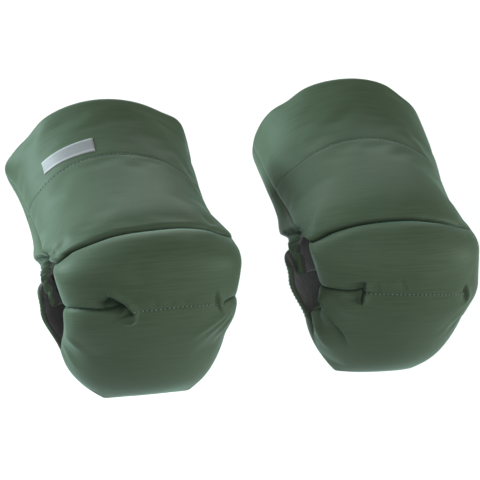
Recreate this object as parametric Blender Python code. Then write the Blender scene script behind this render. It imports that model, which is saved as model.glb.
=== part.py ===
"""A pair of padded hand muffs, in metres, +Z up.

The origin lies on the axis of the passage through all the slits, midway between the muffs. +X
runs along the passage and +Y points to the wearer. Each muff is a bent padded sleeve, sewn
from panels that lie along one line from the bottom fold (share 0) to the mouth (share 1).
"""

import math
from collections import namedtuple

import bpy
import numpy as np
from mathutils import Vector

# Size of a muff
MOUTH_WIDTH = 0.182
MOUTH_REACH = 0.184
MOUTH_RISE = 0.146
FOLD_DROP = 0.110

# How the two soft muffs hang: centre, lift of the cap's front, drop of the bottom fold, and
# sideways shift of the fold and of the mouth
LEFT_CENTRE = -0.1205
LEFT_CAP_LIFT = 0.008
LEFT_FOLD_SINK = 0.0
LEFT_FOLD_SHIFT = -0.003
LEFT_MOUTH_SHIFT = -0.010
RIGHT_CENTRE = 0.118
RIGHT_CAP_LIFT = -0.009
RIGHT_FOLD_SINK = 0.007
RIGHT_FOLD_SHIFT = -0.012
RIGHT_MOUTH_SHIFT = 0.007

# Passage from side slit to side slit, its play, and the bulge of the cloth beside a slit
PASSAGE_DIAMETER = 0.039
PASSAGE_CLEARANCE = 0.0035
CHEEK = 0.008

# Cloth, wadding and seams
WALL = 0.014
HEM_WALL = 0.0055
OVERLAP_WALL = 0.018
FLAP_WALL = 0.0056
SHELL_THICKNESS = 0.0008
LINING_THICKNESS = 0.002
FLAP_LINING_THICKNESS = 0.0012
SEAT_GAP = 0.0003
SEAM_GAP = 0.0006
CREASE_DEPTH = 0.007
STITCH_DEPTH = 0.003
TUCK_DEPTH = 0.002

# Press studs
STUD_SPREAD = 0.052
STUD_RADIUS = 0.0055
CAP_RADIUS = 0.0065
CAP_HEIGHT = 0.002
SOCKET_HEIGHT = 0.002
SOCKET_DEPTH = 0.0015
STUD_BASE_HEIGHT = 0.0008
NUB_RADIUS = 0.0019
NUB_HEIGHT = 0.0014
NUB_CLEARANCE = 0.0005
POST_HEIGHT = 0.0012
POST_CLEARANCE = 0.0006
STUD_SPACE = SEAT_GAP + SOCKET_HEIGHT + SEAT_GAP + STUD_BASE_HEIGHT + SEAT_GAP

# Elastic in the gathered slit edges, and the bare label
ELASTIC_THICKNESS = 0.0018
ELASTIC_WIDTH = 0.006
LABEL_THICKNESS = 0.0009

# Places along a muff, as shares of its line
LOWER_TACK_SHARE = 0.20
BACK_EDGE_SHARE = 0.32
TUCK_SHARE = 0.32
FLAP_TOP_SHARE = 0.42
UPPER_TACK_SHARE = 0.50
CREASE_SHARE = 0.53
STITCH_SHARE = 0.79
ROLL_SHARE = 0.982
HEM_END_SHARE = 0.12
STUD_SHARE = 0.37
ROW_SHARES = (
    0.0, 0.05, 0.12, 0.20, 0.26, 0.32, 0.37, 0.42, 0.46,
    0.50, 0.53, 0.57, 0.68, 0.76, 0.79, 0.82, 0.90, 0.982,
)
LABEL_ROW_SHARES = (0.822, 0.856)
LABEL_COLUMN_SHARES = (-0.56, -0.4, -0.2, -0.14)
FLAT_BACK_SHARE = 0.5
FRONT_COLUMNS = 10
BACK_SIDE_COLUMNS = 3
ROUND_SIDES = 16
ROLL_STEPS = 4

# Side view of a muff. y is a share of MOUTH_REACH, z of MOUTH_RISE above the passage's axis
# and of FOLD_DROP below it, and the half width a share of half the MOUTH_WIDTH.
# along, front y, front z, seam y, seam z, back y, back z, half width
STATION_SHARES = (
    (0.00, -0.032, -1.00, 0.000, -1.00, 0.032, -1.00, 0.44),
    (0.10, -0.21, -0.79, 0.015, -0.85, 0.13, -0.84, 0.67),
    (0.20, -0.32, -0.45, 0.03, -0.54, 0.21, -0.545, 0.83),
    (0.32, -0.40, 0.00, 0.015, -0.11, 0.27, -0.26, 0.84),
    (0.42, -0.39, 0.27, 0.015, 0.165, 0.33, 0.00, 0.87),
    (0.53, -0.24, 0.46, 0.05, 0.25, 0.36, 0.045, 0.90),
    (0.66, 0.10, 0.61, 0.25, 0.23, 0.45, 0.08, 0.91),
    (0.79, 0.435, 0.73, 0.53, 0.30, 0.65, 0.11, 0.945),
    (1.00, 0.75, 1.00, 0.90, 0.47, 1.00, 0.19, 1.00),
)

# Each muff's own values; its turn is about the vertical
Muff = namedtuple("Muff", "name centre turn lift fold_sink fold_shift mouth_shift")
MUFFS = (
    Muff(
        "left", LEFT_CENTRE, math.radians(-4.0), LEFT_CAP_LIFT, LEFT_FOLD_SINK,
        LEFT_FOLD_SHIFT, LEFT_MOUTH_SHIFT,
    ),
    Muff(
        "right", RIGHT_CENTRE, math.radians(-11.0), RIGHT_CAP_LIFT, RIGHT_FOLD_SINK,
        RIGHT_FOLD_SHIFT, RIGHT_MOUTH_SHIFT,
    ),
)

# Reach of the shifts and of the lift along the line
FOLD_SHIFT_END_SHARE = 0.35
HOLD_START_SHARE = 0.06
HOLD_END_SHARE = 0.66
LIFT_CENTRE_SHARE = 0.43
LIFT_SPREAD_SHARE = 0.16
CREASE_SPREAD_SHARE = 0.035
FOLD_SHIFT_POWER = 1.5
GAPE_POWER = 0.6

# Rounded upper corners of the flap: their drop, as a share of its height, and their power
FLAP_CORNER_SHARE = 0.35
FLAP_CORNER_POWER = 4

# Half outlines of the press stud's turned pieces. Radius and height are shares of the piece's
# own, and a socket's and a stud's second steps are added from their named sizes.
CAP_OUTLINE_SHARES = ((0, 0), (1, 0), (1, 0.5), (0.92, 0.8), (0.5, 1), (0, 1))
POST_OUTLINE_SHARES = ((0, 0), (1, 0), (1, 0.5), (0.5, 1), (0, 1))
NUB_OUTLINE_SHARES = ((0.8, 0), (1, 0.5), (0.8, 1), (0, 1))

# name: base colour, roughness, metallic
MATERIALS = {
    "shell_fabric": ((0.075, 0.125, 0.085, 1.0), 0.62, 0.0),
    "wadding": ((0.78, 0.77, 0.73, 1.0), 0.95, 0.0),
    "fleece_lining": ((0.035, 0.037, 0.036, 1.0), 0.95, 0.0),
    "elastic": ((0.03, 0.045, 0.035, 1.0), 0.80, 0.0),
    "stud_metal": ((0.10, 0.10, 0.11, 1.0), 0.35, 1.0),
    "label_cloth": ((0.36, 0.38, 0.40, 1.0), 0.55, 0.0),
}
LAYER_MATERIALS = {"shell": "shell_fabric", "wadding": "wadding", "lining": "fleece_lining"}


def clear_scene():
    for obj in list(bpy.data.objects):
        bpy.data.objects.remove(obj, do_unlink=True)


def make_material(name):
    colour, roughness, metallic = MATERIALS[name]
    material = bpy.data.materials.new(name)
    material.use_nodes = True
    shader = material.node_tree.nodes["Principled BSDF"]
    shader.inputs["Base Color"].default_value = colour
    shader.inputs["Roughness"].default_value = roughness
    shader.inputs["Metallic"].default_value = metallic
    return material


def cubic_slopes(knots, values):
    """Second derivatives of the natural cubic spline through the values."""
    count = len(knots)
    steps = np.diff(knots)
    matrix = np.eye(count)
    right = np.zeros(values.shape)
    for i in range(1, count - 1):
        matrix[i, i - 1 : i + 2] = steps[i - 1], 2 * (steps[i - 1] + steps[i]), steps[i]
        rise = (values[i + 1] - values[i]) / steps[i]
        fall = (values[i] - values[i - 1]) / steps[i - 1]
        right[i] = 6 * (rise - fall)
    return np.linalg.solve(matrix, right)


KNOTS = np.array([row[0] for row in STATION_SHARES])
SHARES = np.array([row[1:] for row in STATION_SHARES])
HEIGHTS = np.where(SHARES > 0, MOUTH_RISE, FOLD_DROP)
SCALES = np.full(SHARES.shape, MOUTH_REACH)
SCALES[:, [1, 3, 5]] = HEIGHTS[:, [1, 3, 5]]
SCALES[:, 6] = MOUTH_WIDTH / 2
VALUES = SHARES * SCALES
BENDS = cubic_slopes(KNOTS, VALUES)


def station(share):
    """The side view's values at a share of the line."""
    i = int(np.clip(np.searchsorted(KNOTS, share) - 1, 0, len(KNOTS) - 2))
    step = KNOTS[i + 1] - KNOTS[i]
    after = (share - KNOTS[i]) / step
    before = 1 - after
    curve = (before**3 - before) * BENDS[i] + (after**3 - after) * BENDS[i + 1]
    return before * VALUES[i] + after * VALUES[i + 1] + curve * step**2 / 6


def line_length():
    """Length of the front's line, from the bottom fold to the mouth."""
    fronts = [station(share)[0:2] for share in (*ROW_SHARES, 1.0)]
    return sum(np.linalg.norm(after - before) for before, after in zip(fronts, fronts[1:]))


def ramp(value, low, high):
    share = min(max((value - low) / (high - low), 0.0), 1.0)
    return share * share * (3 - 2 * share)


def valley(share, centre):
    return math.exp(-abs(share - centre) / CREASE_SPREAD_SHARE)


def gape_share(share):
    """How far the slit stands open here: 0 at its tacks, 1 in its middle."""
    along = (share - LOWER_TACK_SHARE) / (UPPER_TACK_SHARE - LOWER_TACK_SHARE)
    if not 0 < along < 1:
        return 0.0
    return math.sin(math.pi * along) ** GAPE_POWER


def hold_share(share):
    """How far the slit's edges are kept from turning with the muff."""
    below = ramp(share, HOLD_START_SHARE, LOWER_TACK_SHARE)
    return below * (1 - ramp(share, UPPER_TACK_SHARE, HOLD_END_SHARE))


def quilting(share):
    """Depth of the sewn lines across the front."""
    return (
        CREASE_DEPTH * valley(share, CREASE_SHARE)
        + STITCH_DEPTH * valley(share, STITCH_SHARE)
        + TUCK_DEPTH * valley(share, TUCK_SHARE)
    )


def section(muff, share):
    """Front, back and seam ends of a cross-section as (y, z), its half width and its shift."""
    values = station(share)
    sink = np.array((0.0, muff.fold_sink * (1 - ramp(share, 0, LOWER_TACK_SHARE))))
    front, seam, back = values[0:2] - sink, values[2:4] - sink, values[4:6] - sink
    if LOWER_TACK_SHARE < share < FLAP_TOP_SHARE:
        low = station(LOWER_TACK_SHARE)[4:6]
        along = (share - LOWER_TACK_SHARE) / (FLAP_TOP_SHARE - LOWER_TACK_SHARE)
        back = low + (station(FLAP_TOP_SHARE)[4:6] - low) * along
    away = (share - LIFT_CENTRE_SHARE) / LIFT_SPREAD_SHARE
    front[1] += muff.lift * math.exp(-away * away)
    across = (back - front) / np.linalg.norm(back - front)
    passage = PASSAGE_DIAMETER / 2 + PASSAGE_CLEARANCE
    open_half = passage * gape_share(share) + SEAM_GAP / 2
    shift = muff.fold_shift * max(1 - share / FOLD_SHIFT_END_SHARE, 0.0) ** FOLD_SHIFT_POWER
    shift += muff.mouth_shift * max(share - CREASE_SHARE, 0.0) / (1 - CREASE_SHARE)
    front = front + across * quilting(share)
    return front, seam - across * open_half, seam + across * open_half, back, values[6], shift


def place(muff, share, x, edge, middle):
    """World point of a cross-section's point, turned with the muff but not at a slit's edge."""
    held = 1 - hold_share(share) * edge
    return Vector((muff.centre + x, middle[0] + math.tan(muff.turn) * x * held, middle[1]))


def inset_end(end, seam, inset):
    reach = end - seam
    length = np.linalg.norm(reach)
    return seam + reach * max(length - inset, 0.0) / length


def front_point(muff, share, across, inset):
    front, seam, _, _, half, shift = section(muff, share)
    angle = across * math.pi / 2
    end = inset_end(front, seam, inset)
    x = (half - inset) * math.sin(angle) + CHEEK * gape_share(share) * math.sin(2 * angle)
    return place(muff, share, x + shift, math.sin(angle) ** 2, seam + (end - seam) * math.cos(angle))


def back_point(muff, share, across, inset):
    _, _, seam, back, half, shift = section(muff, share)
    flat = FLAT_BACK_SHARE * half
    outer = max(abs(across) - FLAT_BACK_SHARE, 0.0) / (1 - FLAT_BACK_SHARE)
    angle = outer * math.pi / 2
    end = inset_end(back, seam, inset)
    if outer:
        x = math.copysign(flat + (half - inset - flat) * math.sin(angle), across)
    else:
        x = flat * across / FLAT_BACK_SHARE
    return place(muff, share, x + shift, math.sin(angle) ** 2, seam + (end - seam) * math.cos(angle))


def flap_point(muff, share, across, inset):
    """Point of the flap, which lies on the back's line and has rounded upper corners."""
    height = 1 - FLAP_CORNER_SHARE * abs(across) ** FLAP_CORNER_POWER
    lowered = LOWER_TACK_SHARE + (share - LOWER_TACK_SHARE) * height
    return back_point(muff, lowered, across, inset)


def flap_normal(muff):
    """Outward normal of the flap where its press studs sit, square to the hinge's axis."""
    low = back_point(muff, LOWER_TACK_SHARE, 0, 0)
    high = back_point(muff, FLAP_TOP_SHARE, 0, 0)
    along = Vector((math.cos(muff.turn), math.sin(muff.turn), 0))
    normal = along.cross(high - low).normalized()
    return normal if normal.y > 0 else -normal


def lean_share(muff):
    """How much of a depth below the flap lies along its normal, at the press studs."""
    outer = back_point(muff, STUD_SHARE, 0, 0)
    under = back_point(muff, STUD_SHARE, 0, WALL)
    return (outer - under).normalized().dot(flap_normal(muff))


def under_flap(share):
    """1 where the upper back lies under the flap, falling to 0 at the upper tacks."""
    return 1 - ramp(share, FLAP_TOP_SHARE, UPPER_TACK_SHARE)


def outside(muff, share):
    return 0.0


def wall(muff, share):
    return HEM_WALL + (WALL - HEM_WALL) * ramp(share, 0.0, HEM_END_SHARE)


def flap_inner(muff, share):
    return FLAP_WALL / lean_share(muff)


def back_outer(muff, share):
    return (FLAP_WALL + STUD_SPACE) / lean_share(muff) * under_flap(share)


def back_inner(muff, share):
    return WALL + (OVERLAP_WALL / lean_share(muff) - WALL) * under_flap(share)


def rows_between(low, high):
    inner = [share for share in ROW_SHARES if low < share < high]
    half_gap = SEAM_GAP / line_length() / 2
    first = low if low == 0 else low + half_gap
    last = high if high == ROLL_SHARE else high - half_gap
    return [first, *inner, last]


def front_columns():
    return [2 * i / FRONT_COLUMNS - 1 for i in range(FRONT_COLUMNS + 1)]


def back_columns():
    side = [
        1 - (1 - FLAT_BACK_SHARE) * i / BACK_SIDE_COLUMNS for i in range(BACK_SIDE_COLUMNS + 1)
    ]
    return [-share for share in side] + [0.0] + side[::-1]


def add_object(name, points, faces, material, parent, smooth=True):
    """A mesh object whose points are given in world space."""
    mesh = bpy.data.meshes.new(name)
    mesh.from_pydata([tuple(point - parent.location) for point in points], [], faces)
    mesh.materials.append(material)
    mesh.update()
    if smooth:
        mesh.shade_smooth()
        mesh.set_sharp_from_angle(angle=math.radians(50.0))
    obj = bpy.data.objects.new(name, mesh)
    obj.parent = parent
    bpy.context.scene.collection.objects.link(obj)
    return obj


def add_empty(name, location):
    empty = bpy.data.objects.new(name, None)
    empty.location = location
    bpy.context.scene.collection.objects.link(empty)
    return empty


def grid_solid(outer, inner):
    """Points and faces of the closed slab between two grids of points.

    Every slab's quads are cut along the same diagonal, so stacked layers stay parallel.
    """
    rows, columns = len(outer), len(outer[0])
    points = [point for grid in (outer, inner) for row in grid for point in row]
    half = rows * columns

    def index(row, column, side):
        return side * half + row * columns + column

    faces = []
    for i in range(rows - 1):
        for j in range(columns - 1):
            corners = ((i, j), (i, j + 1), (i + 1, j + 1), (i + 1, j))
            for half_quad in ((0, 1, 2), (0, 2, 3)):
                faces.append([index(*corners[k], 0) for k in half_quad])
                faces.append([index(*corners[k], 1) for k in reversed(half_quad)])
    rim = [(0, j) for j in range(columns - 1)]
    rim += [(i, columns - 1) for i in range(rows - 1)]
    rim += [(rows - 1, j) for j in range(columns - 1, 0, -1)]
    rim += [(i, 0) for i in range(rows - 1, 0, -1)]
    for here, there in zip(rim, rim[1:] + rim[:1]):
        low, high = min(here, there), max(here, there)
        cut = index(*low, 0), index(*high, 1)
        first, second = index(*low, 1), index(*high, 0)
        if here == high:
            first, second = second, first
        faces.append([cut[0], first, cut[1]])
        faces.append([cut[0], cut[1], second])
    return points, faces


def turn_out(points, faces):
    """The faces, reversed where they enclose a negative volume."""
    volume = 0.0
    for face in faces:
        for a, b in zip(face[1:], face[2:]):
            volume += points[face[0]].dot(points[a].cross(points[b]))
    return faces if volume > 0 else [face[::-1] for face in faces]


def panel(name, muff, parent, material, point, rows, columns, outer, inner):
    """One layer of a panel, between two depths below the muff's outer surface."""
    grids = [
        [[point(muff, row, column, depth(muff, row)) for column in columns] for row in rows]
        for depth in (outer, inner)
    ]
    points, faces = grid_solid(*grids)
    return add_object(name, points, turn_out(points, faces), material, parent)


def layers(name, muff, parent, point, rows, columns, outer, inner, lining, waddings=None):
    """Shell, wadding and lining of one panel. Its wadding may be cut into pieces by name."""
    waddings = waddings or {name: rows}

    def wadding_outer(muff, share):
        return outer(muff, share) + SHELL_THICKNESS + SEAT_GAP

    def wadding_inner(muff, share):
        return inner(muff, share) - lining - SEAT_GAP

    depths = [
        (name, "shell", rows, outer, lambda m, s: outer(m, s) + SHELL_THICKNESS),
        (name, "lining", rows, lambda m, s: inner(m, s) - lining, inner),
    ]
    for piece, piece_rows in waddings.items():
        depths.append((piece, "wadding", piece_rows, wadding_outer, wadding_inner))
    for piece, layer, piece_rows, top, bottom in depths:
        node = f"{muff.name}_{piece}_{layer}"
        material = make_material(LAYER_MATERIALS[layer])
        panel(node, muff, parent, material, point, piece_rows, columns, top, bottom)


def front_and_cap(muff, body):
    args = (front_columns(), outside, wall, LINING_THICKNESS)
    waddings = {
        "cap": rows_between(TUCK_SHARE, CREASE_SHARE),
        "tip": rows_between(0, TUCK_SHARE),
    }
    layers("cap", muff, body, front_point, rows_between(0, CREASE_SHARE), *args, waddings)
    layers("front", muff, body, front_point, rows_between(CREASE_SHARE, ROLL_SHARE), *args)


def back_panels(muff, body):
    columns = back_columns()
    rows = rows_between(0, LOWER_TACK_SHARE)
    layers("lower_back", muff, body, back_point, rows, columns, outside, wall, LINING_THICKNESS)
    rows = rows_between(BACK_EDGE_SHARE, ROLL_SHARE)
    layers(
        "back", muff, body, back_point, rows, columns, back_outer, back_inner, LINING_THICKNESS
    )


def flap(muff, hinge):
    rows = rows_between(LOWER_TACK_SHARE, FLAP_TOP_SHARE)
    layers(
        "flap", muff, hinge, flap_point, rows, back_columns(),
        outside, flap_inner, FLAP_LINING_THICKNESS,
    )


def mouth_roll(muff, body):
    """The mouth's rolled rim, which closes the ends of all layers with a half-round."""
    ring = [(front_point, column) for column in front_columns()]
    ring += [(back_point, column) for column in back_columns()[-2:0:-1]]
    start = ROLL_SHARE + SEAT_GAP / line_length()
    radius = WALL / 2
    points = []
    for point, column in ring:
        for step in range(ROLL_STEPS + 1):
            angle = math.pi * step / ROLL_STEPS
            inset = radius * (1 - math.cos(angle))
            base = point(muff, start, column, inset)
            ahead = base - point(muff, ROW_SHARES[-2], column, inset)
            points.append(base + ahead.normalized() * radius * math.sin(angle))
    steps, count = ROLL_STEPS + 1, len(ring)
    faces = []
    for i in range(count):
        for j in range(steps):
            here, there = i * steps, (i + 1) % count * steps
            after = (j + 1) % steps
            faces.append([here + j, here + after, there + after, there + j])
    faces = turn_out(points, faces)
    add_object(f"{muff.name}_mouth_roll", points, faces, make_material("shell_fabric"), body)


def slit_elastic(muff, body, side, name):
    """The elastic along one slit edge of the upper back, in the shell's gathers."""
    grids = ([], [])
    for share in rows_between(BACK_EDGE_SHARE, UPPER_TACK_SHARE)[:-1]:
        top, bottom = back_outer(muff, share), back_inner(muff, share)
        middle = (top + bottom) / 2
        _, front_edge, back_edge, *_ = section(muff, share)
        ahead = (front_edge - back_edge) / np.linalg.norm(front_edge - back_edge)
        for grid, away in zip(grids, (SEAT_GAP, SEAT_GAP + ELASTIC_THICKNESS)):
            row = []
            for inset in (middle - ELASTIC_WIDTH / 2, middle + ELASTIC_WIDTH / 2):
                edge = back_point(muff, share, side, inset)
                row.append(edge + Vector((0, ahead[0], ahead[1])) * away)
            grid.append(row)
    points, faces = grid_solid(*grids)
    faces = turn_out(points, faces)
    add_object(f"{muff.name}_{name}", points, faces, make_material("elastic"), body, False)


def turned(profile):
    """Points and faces of a closed profile of (radius, height) turned about local z."""
    points, faces = [], []
    rings = []
    for radius, height in profile:
        if radius == 0:
            rings.append([len(points)])
            points.append(Vector((0, 0, height)))
            continue
        rings.append(list(range(len(points), len(points) + ROUND_SIDES)))
        for i in range(ROUND_SIDES):
            angle = 2 * math.pi * i / ROUND_SIDES
            points.append(Vector((radius * math.cos(angle), radius * math.sin(angle), height)))
    for low, high in zip(rings, rings[1:]):
        for i in range(ROUND_SIDES):
            j = (i + 1) % ROUND_SIDES
            if len(low) == 1:
                faces.append([low[0], high[i], high[j]])
            elif len(high) == 1:
                faces.append([low[i], high[0], low[j]])
            else:
                faces.append([low[i], high[i], high[j], low[j]])
    return points, faces


def outline(shares, radius, height, foot=0.0):
    return [(wide * radius, foot + tall * height) for wide, tall in shares]


def socket_profile():
    hole = NUB_RADIUS + NUB_CLEARANCE
    floor = SOCKET_HEIGHT - SOCKET_DEPTH
    return [
        (0, 0), (STUD_RADIUS, 0), (STUD_RADIUS, SOCKET_HEIGHT), (hole, SOCKET_HEIGHT),
        (hole, floor), (0, floor),
    ]


def stud_profile():
    base = [(0, 0), (STUD_RADIUS, 0), (STUD_RADIUS, STUD_BASE_HEIGHT)]
    return base + outline(NUB_OUTLINE_SHARES, NUB_RADIUS, NUB_HEIGHT, STUD_BASE_HEIGHT)


def stud_centre(muff, side):
    """Point of the flap's surface on a press stud's axis."""
    half = section(muff, STUD_SHARE)[4]
    return back_point(muff, STUD_SHARE, side * STUD_SPREAD / 2 / half, 0)


def add_turned(name, profile, foot, axis, parent, material):
    points, faces = turned(profile)
    rotation = axis.to_track_quat("Z", "Y")
    points = [foot + rotation @ point for point in points]
    add_object(name, points, turn_out(points, faces), material, parent)


def press_stud(muff, body, hinge, side, name):
    normal = flap_normal(muff)
    cap = outline(CAP_OUTLINE_SHARES, CAP_RADIUS, CAP_HEIGHT)
    post = outline(POST_OUTLINE_SHARES, STUD_RADIUS, POST_HEIGHT)
    outer = stud_centre(muff, side)
    metal = make_material("stud_metal")
    under = outer - normal * (FLAP_WALL + SEAT_GAP)
    base = outer - normal * (FLAP_WALL + STUD_SPACE - SEAT_GAP)
    inner = outer - normal * (OVERLAP_WALL + POST_CLEARANCE)
    label = f"{muff.name}_{name}"
    add_turned(f"{label}_cap", cap, outer + normal * SEAT_GAP, normal, hinge, metal)
    add_turned(f"{label}_socket", socket_profile(), under, -normal, hinge, metal)
    add_turned(f"{label}_stud", stud_profile(), base, normal, body, metal)
    add_turned(f"{label}_post", post, inner, -normal, body, metal)


def bracket(places, value):
    """The neighbouring places below and above a value, and how far it lies between them."""
    low = max(place for place in places if place <= value)
    high = min(place for place in places if place > value)
    return low, high, (value - low) / (high - low)


def facet_point(muff, share, across, inset):
    """Point of the front's facets, between the rows and columns around it."""
    low, high, up = bracket(ROW_SHARES, share)
    left, right, over = bracket(front_columns(), across)
    ends = [
        front_point(muff, row, left, inset).lerp(front_point(muff, row, right, inset), over)
        for row in (low, high)
    ]
    return ends[0].lerp(ends[1], up)


def bare_label(muff, body):
    panel(
        f"{muff.name}_label", muff, body, make_material("label_cloth"), facet_point,
        LABEL_ROW_SHARES, LABEL_COLUMN_SHARES,
        lambda m, s: -SEAT_GAP - LABEL_THICKNESS, lambda m, s: -SEAT_GAP,
    )


def build_muff(muff):
    body = add_empty(f"{muff.name}_muff", Vector((muff.centre, 0, 0)))
    hinge = add_empty(f"{muff.name}_flap_hinge", back_point(muff, LOWER_TACK_SHARE, 0, 0))
    front_and_cap(muff, body)
    back_panels(muff, body)
    flap(muff, hinge)
    mouth_roll(muff, body)
    for side, word in ((-1, "left"), (1, "right")):
        slit_elastic(muff, body, side, f"slit_elastic_{word}")
        press_stud(muff, body, hinge, side, f"snap_{word}")
    if muff is MUFFS[0]:
        bare_label(muff, body)


def main():
    clear_scene()
    for muff in MUFFS:
        build_muff(muff)


main()
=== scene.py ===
"""Looks of a pair of padded hand muffs: quilted cloth, fleece lining, stitches and studs.

Each muff is a bent padded sleeve. Its cloth is laid out by a share along the sleeve (0 at the
bottom fold, 1 at the mouth) and a share across it (-1 and 1 at the side seams). All lengths
are in metres.
"""

import math
from collections import namedtuple

import bpy
import numpy as np
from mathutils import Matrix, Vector

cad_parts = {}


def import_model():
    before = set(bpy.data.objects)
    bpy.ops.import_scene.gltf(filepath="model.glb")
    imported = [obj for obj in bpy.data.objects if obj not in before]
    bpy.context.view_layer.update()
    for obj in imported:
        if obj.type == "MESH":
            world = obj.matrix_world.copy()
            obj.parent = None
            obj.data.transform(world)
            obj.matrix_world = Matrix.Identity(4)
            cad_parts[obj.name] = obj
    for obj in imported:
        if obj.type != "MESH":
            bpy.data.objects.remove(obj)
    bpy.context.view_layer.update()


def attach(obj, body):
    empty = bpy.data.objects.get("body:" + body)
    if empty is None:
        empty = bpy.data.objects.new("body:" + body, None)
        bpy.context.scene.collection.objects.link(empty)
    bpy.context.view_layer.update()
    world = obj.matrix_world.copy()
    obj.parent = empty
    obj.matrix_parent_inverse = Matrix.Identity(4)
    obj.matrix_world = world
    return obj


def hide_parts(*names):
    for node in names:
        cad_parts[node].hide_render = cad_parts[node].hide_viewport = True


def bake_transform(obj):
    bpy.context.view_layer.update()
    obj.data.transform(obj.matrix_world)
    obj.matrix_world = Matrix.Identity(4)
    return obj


MOUTH_WIDTH = 0.182
MOUTH_REACH = 0.184
MOUTH_RISE = 0.146
FOLD_DROP = 0.110
PASSAGE_HALF = 0.023
CHEEK = 0.008

WALL = 0.014
HEM_WALL = 0.0055
FLAP_WALL = 0.0056
STUD_SPACE = 0.0037
OVERLAP_WALL = 0.018

LOWER_TACK_SHARE = 0.20
BACK_EDGE_SHARE = 0.32
STUD_SHARE = 0.37
FLAP_TOP_SHARE = 0.42
UPPER_TACK_SHARE = 0.50
CREASE_SHARE = 0.53
FLAT_BACK_SHARE = 0.5
SEAM_GAP = 0.0003
WELD = 0.0002

# Shares of the slit's length over which it opens and from which it closes
GAPE_SHARES = (0.36, 0.64)
# Where the slit's edges begin and cease to be kept from turning with the muff
HOLD_SHARES = (0.06, 0.66)
# Where the front is lifted, and how far along that reaches
LIFT_SHARES = (0.43, 0.16)
FOLD_SHIFT_SHARE = 0.35
FLAP_CORNER_SHARE = 0.35
HEM_SHARE = 0.12

# along, front y, front z, seam y, seam z, back y, back z, half width
STATION_SHARES = (
    (0.00, -0.032, -1.00, 0.000, -1.00, 0.032, -1.00, 0.44),
    (0.10, -0.21, -0.79, 0.015, -0.85, 0.13, -0.84, 0.67),
    (0.20, -0.32, -0.45, 0.03, -0.54, 0.21, -0.545, 0.83),
    (0.32, -0.40, 0.00, 0.015, -0.11, 0.27, -0.26, 0.84),
    (0.42, -0.39, 0.27, 0.015, 0.165, 0.33, 0.00, 0.87),
    (0.53, -0.24, 0.46, 0.05, 0.25, 0.36, 0.045, 0.90),
    (0.66, 0.10, 0.61, 0.25, 0.23, 0.45, 0.08, 0.91),
    (0.79, 0.435, 0.73, 0.53, 0.30, 0.65, 0.11, 0.945),
    (1.00, 0.75, 1.00, 0.90, 0.47, 1.00, 0.19, 1.00),
)

# Where each muff's cloth stands out from the pattern or sinks: the line of the section that
# moves, the place along the sleeve, how far along it reaches, and by how much in metres
SECTION_LINES = (
    "front_y", "front_z", "seam_y", "seam_z", "back_y", "back_z", "left", "right", "bulge"
)
Drape = namedtuple("Drape", "line place reach size")
DRAPES = {
    "left": (
        Drape("left", 0.15, 0.08, 0.005), Drape("left", 0.50, 0.15, 0.009),
        Drape("right", 0.0, 0.06, 0.004), Drape("right", 0.45, 0.12, 0.004),
        Drape("right", 0.72, 0.10, -0.005), Drape("right", 1.0, 0.10, 0.003),
        Drape("front_z", 0.20, 0.12, 0.003), Drape("front_z", 0.60, 0.10, -0.004),
        Drape("seam_z", 0.36, 0.14, -0.005), Drape("seam_z", 1.0, 0.12, -0.005),
        Drape("seam_z", 0.11, 0.05, 0.004), Drape("seam_z", 0.0, 0.05, -0.002),
        Drape("back_z", 0.65, 0.12, -0.005), Drape("bulge", 0.58, 0.20, 0.012),
    ),
    "right": (
        Drape("left", 0.05, 0.08, -0.006), Drape("left", 0.48, 0.10, 0.011),
        Drape("right", 0.18, 0.06, 0.006), Drape("right", 0.60, 0.17, -0.012),
        Drape("right", 1.0, 0.12, -0.007), Drape("front_z", 0.20, 0.09, -0.004),
        Drape("front_z", 1.0, 0.12, 0.004), Drape("seam_y", 0.25, 0.10, -0.005),
        Drape("seam_z", 0.14, 0.07, 0.005), Drape("seam_z", 0.95, 0.12, 0.004),
        Drape("back_z", 0.62, 0.10, -0.004), Drape("bulge", 0.60, 0.20, 0.012),
    ),
}

# Each muff's centre across, how far it is turned, how far its front is lifted, how far its fold
# sinks and shifts, how far its mouth shifts, and how far the back's left slit edge flares
Muff = namedtuple("Muff", "name centre turn lift fold_sink fold_shift mouth_shift slit_flare")
MUFFS = (
    Muff("left", -0.1205, math.radians(-4.0), 0.008, 0.0, -0.003, -0.010, 0.015),
    Muff("right", 0.118, math.radians(-11.0), -0.009, 0.007, -0.012, 0.007, 0.013),
)


# The sleeve's form


def cubic_bends(knots, values):
    """Second derivatives of the natural cubic through a table's values."""
    steps = np.diff(knots)
    matrix = np.eye(len(knots))
    right = np.zeros(values.shape)
    for i in range(1, len(knots) - 1):
        matrix[i, i - 1 : i + 2] = steps[i - 1], 2 * (steps[i - 1] + steps[i]), steps[i]
        rise = (values[i + 1] - values[i]) / steps[i]
        right[i] = 6 * (rise - (values[i] - values[i - 1]) / steps[i - 1])
    return np.linalg.solve(matrix, right)


def cubic(knots, values, bends, places):
    """The natural cubic's values at places, an array of any shape."""
    i = np.clip(np.searchsorted(knots, places) - 1, 0, len(knots) - 2)
    step = (knots[i + 1] - knots[i])[..., None]
    after = (places - knots[i])[..., None] / step
    before = 1 - after
    curve = (before**3 - before) * bends[i] + (after**3 - after) * bends[i + 1]
    return before * values[i] + after * values[i + 1] + curve * step**2 / 6


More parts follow.
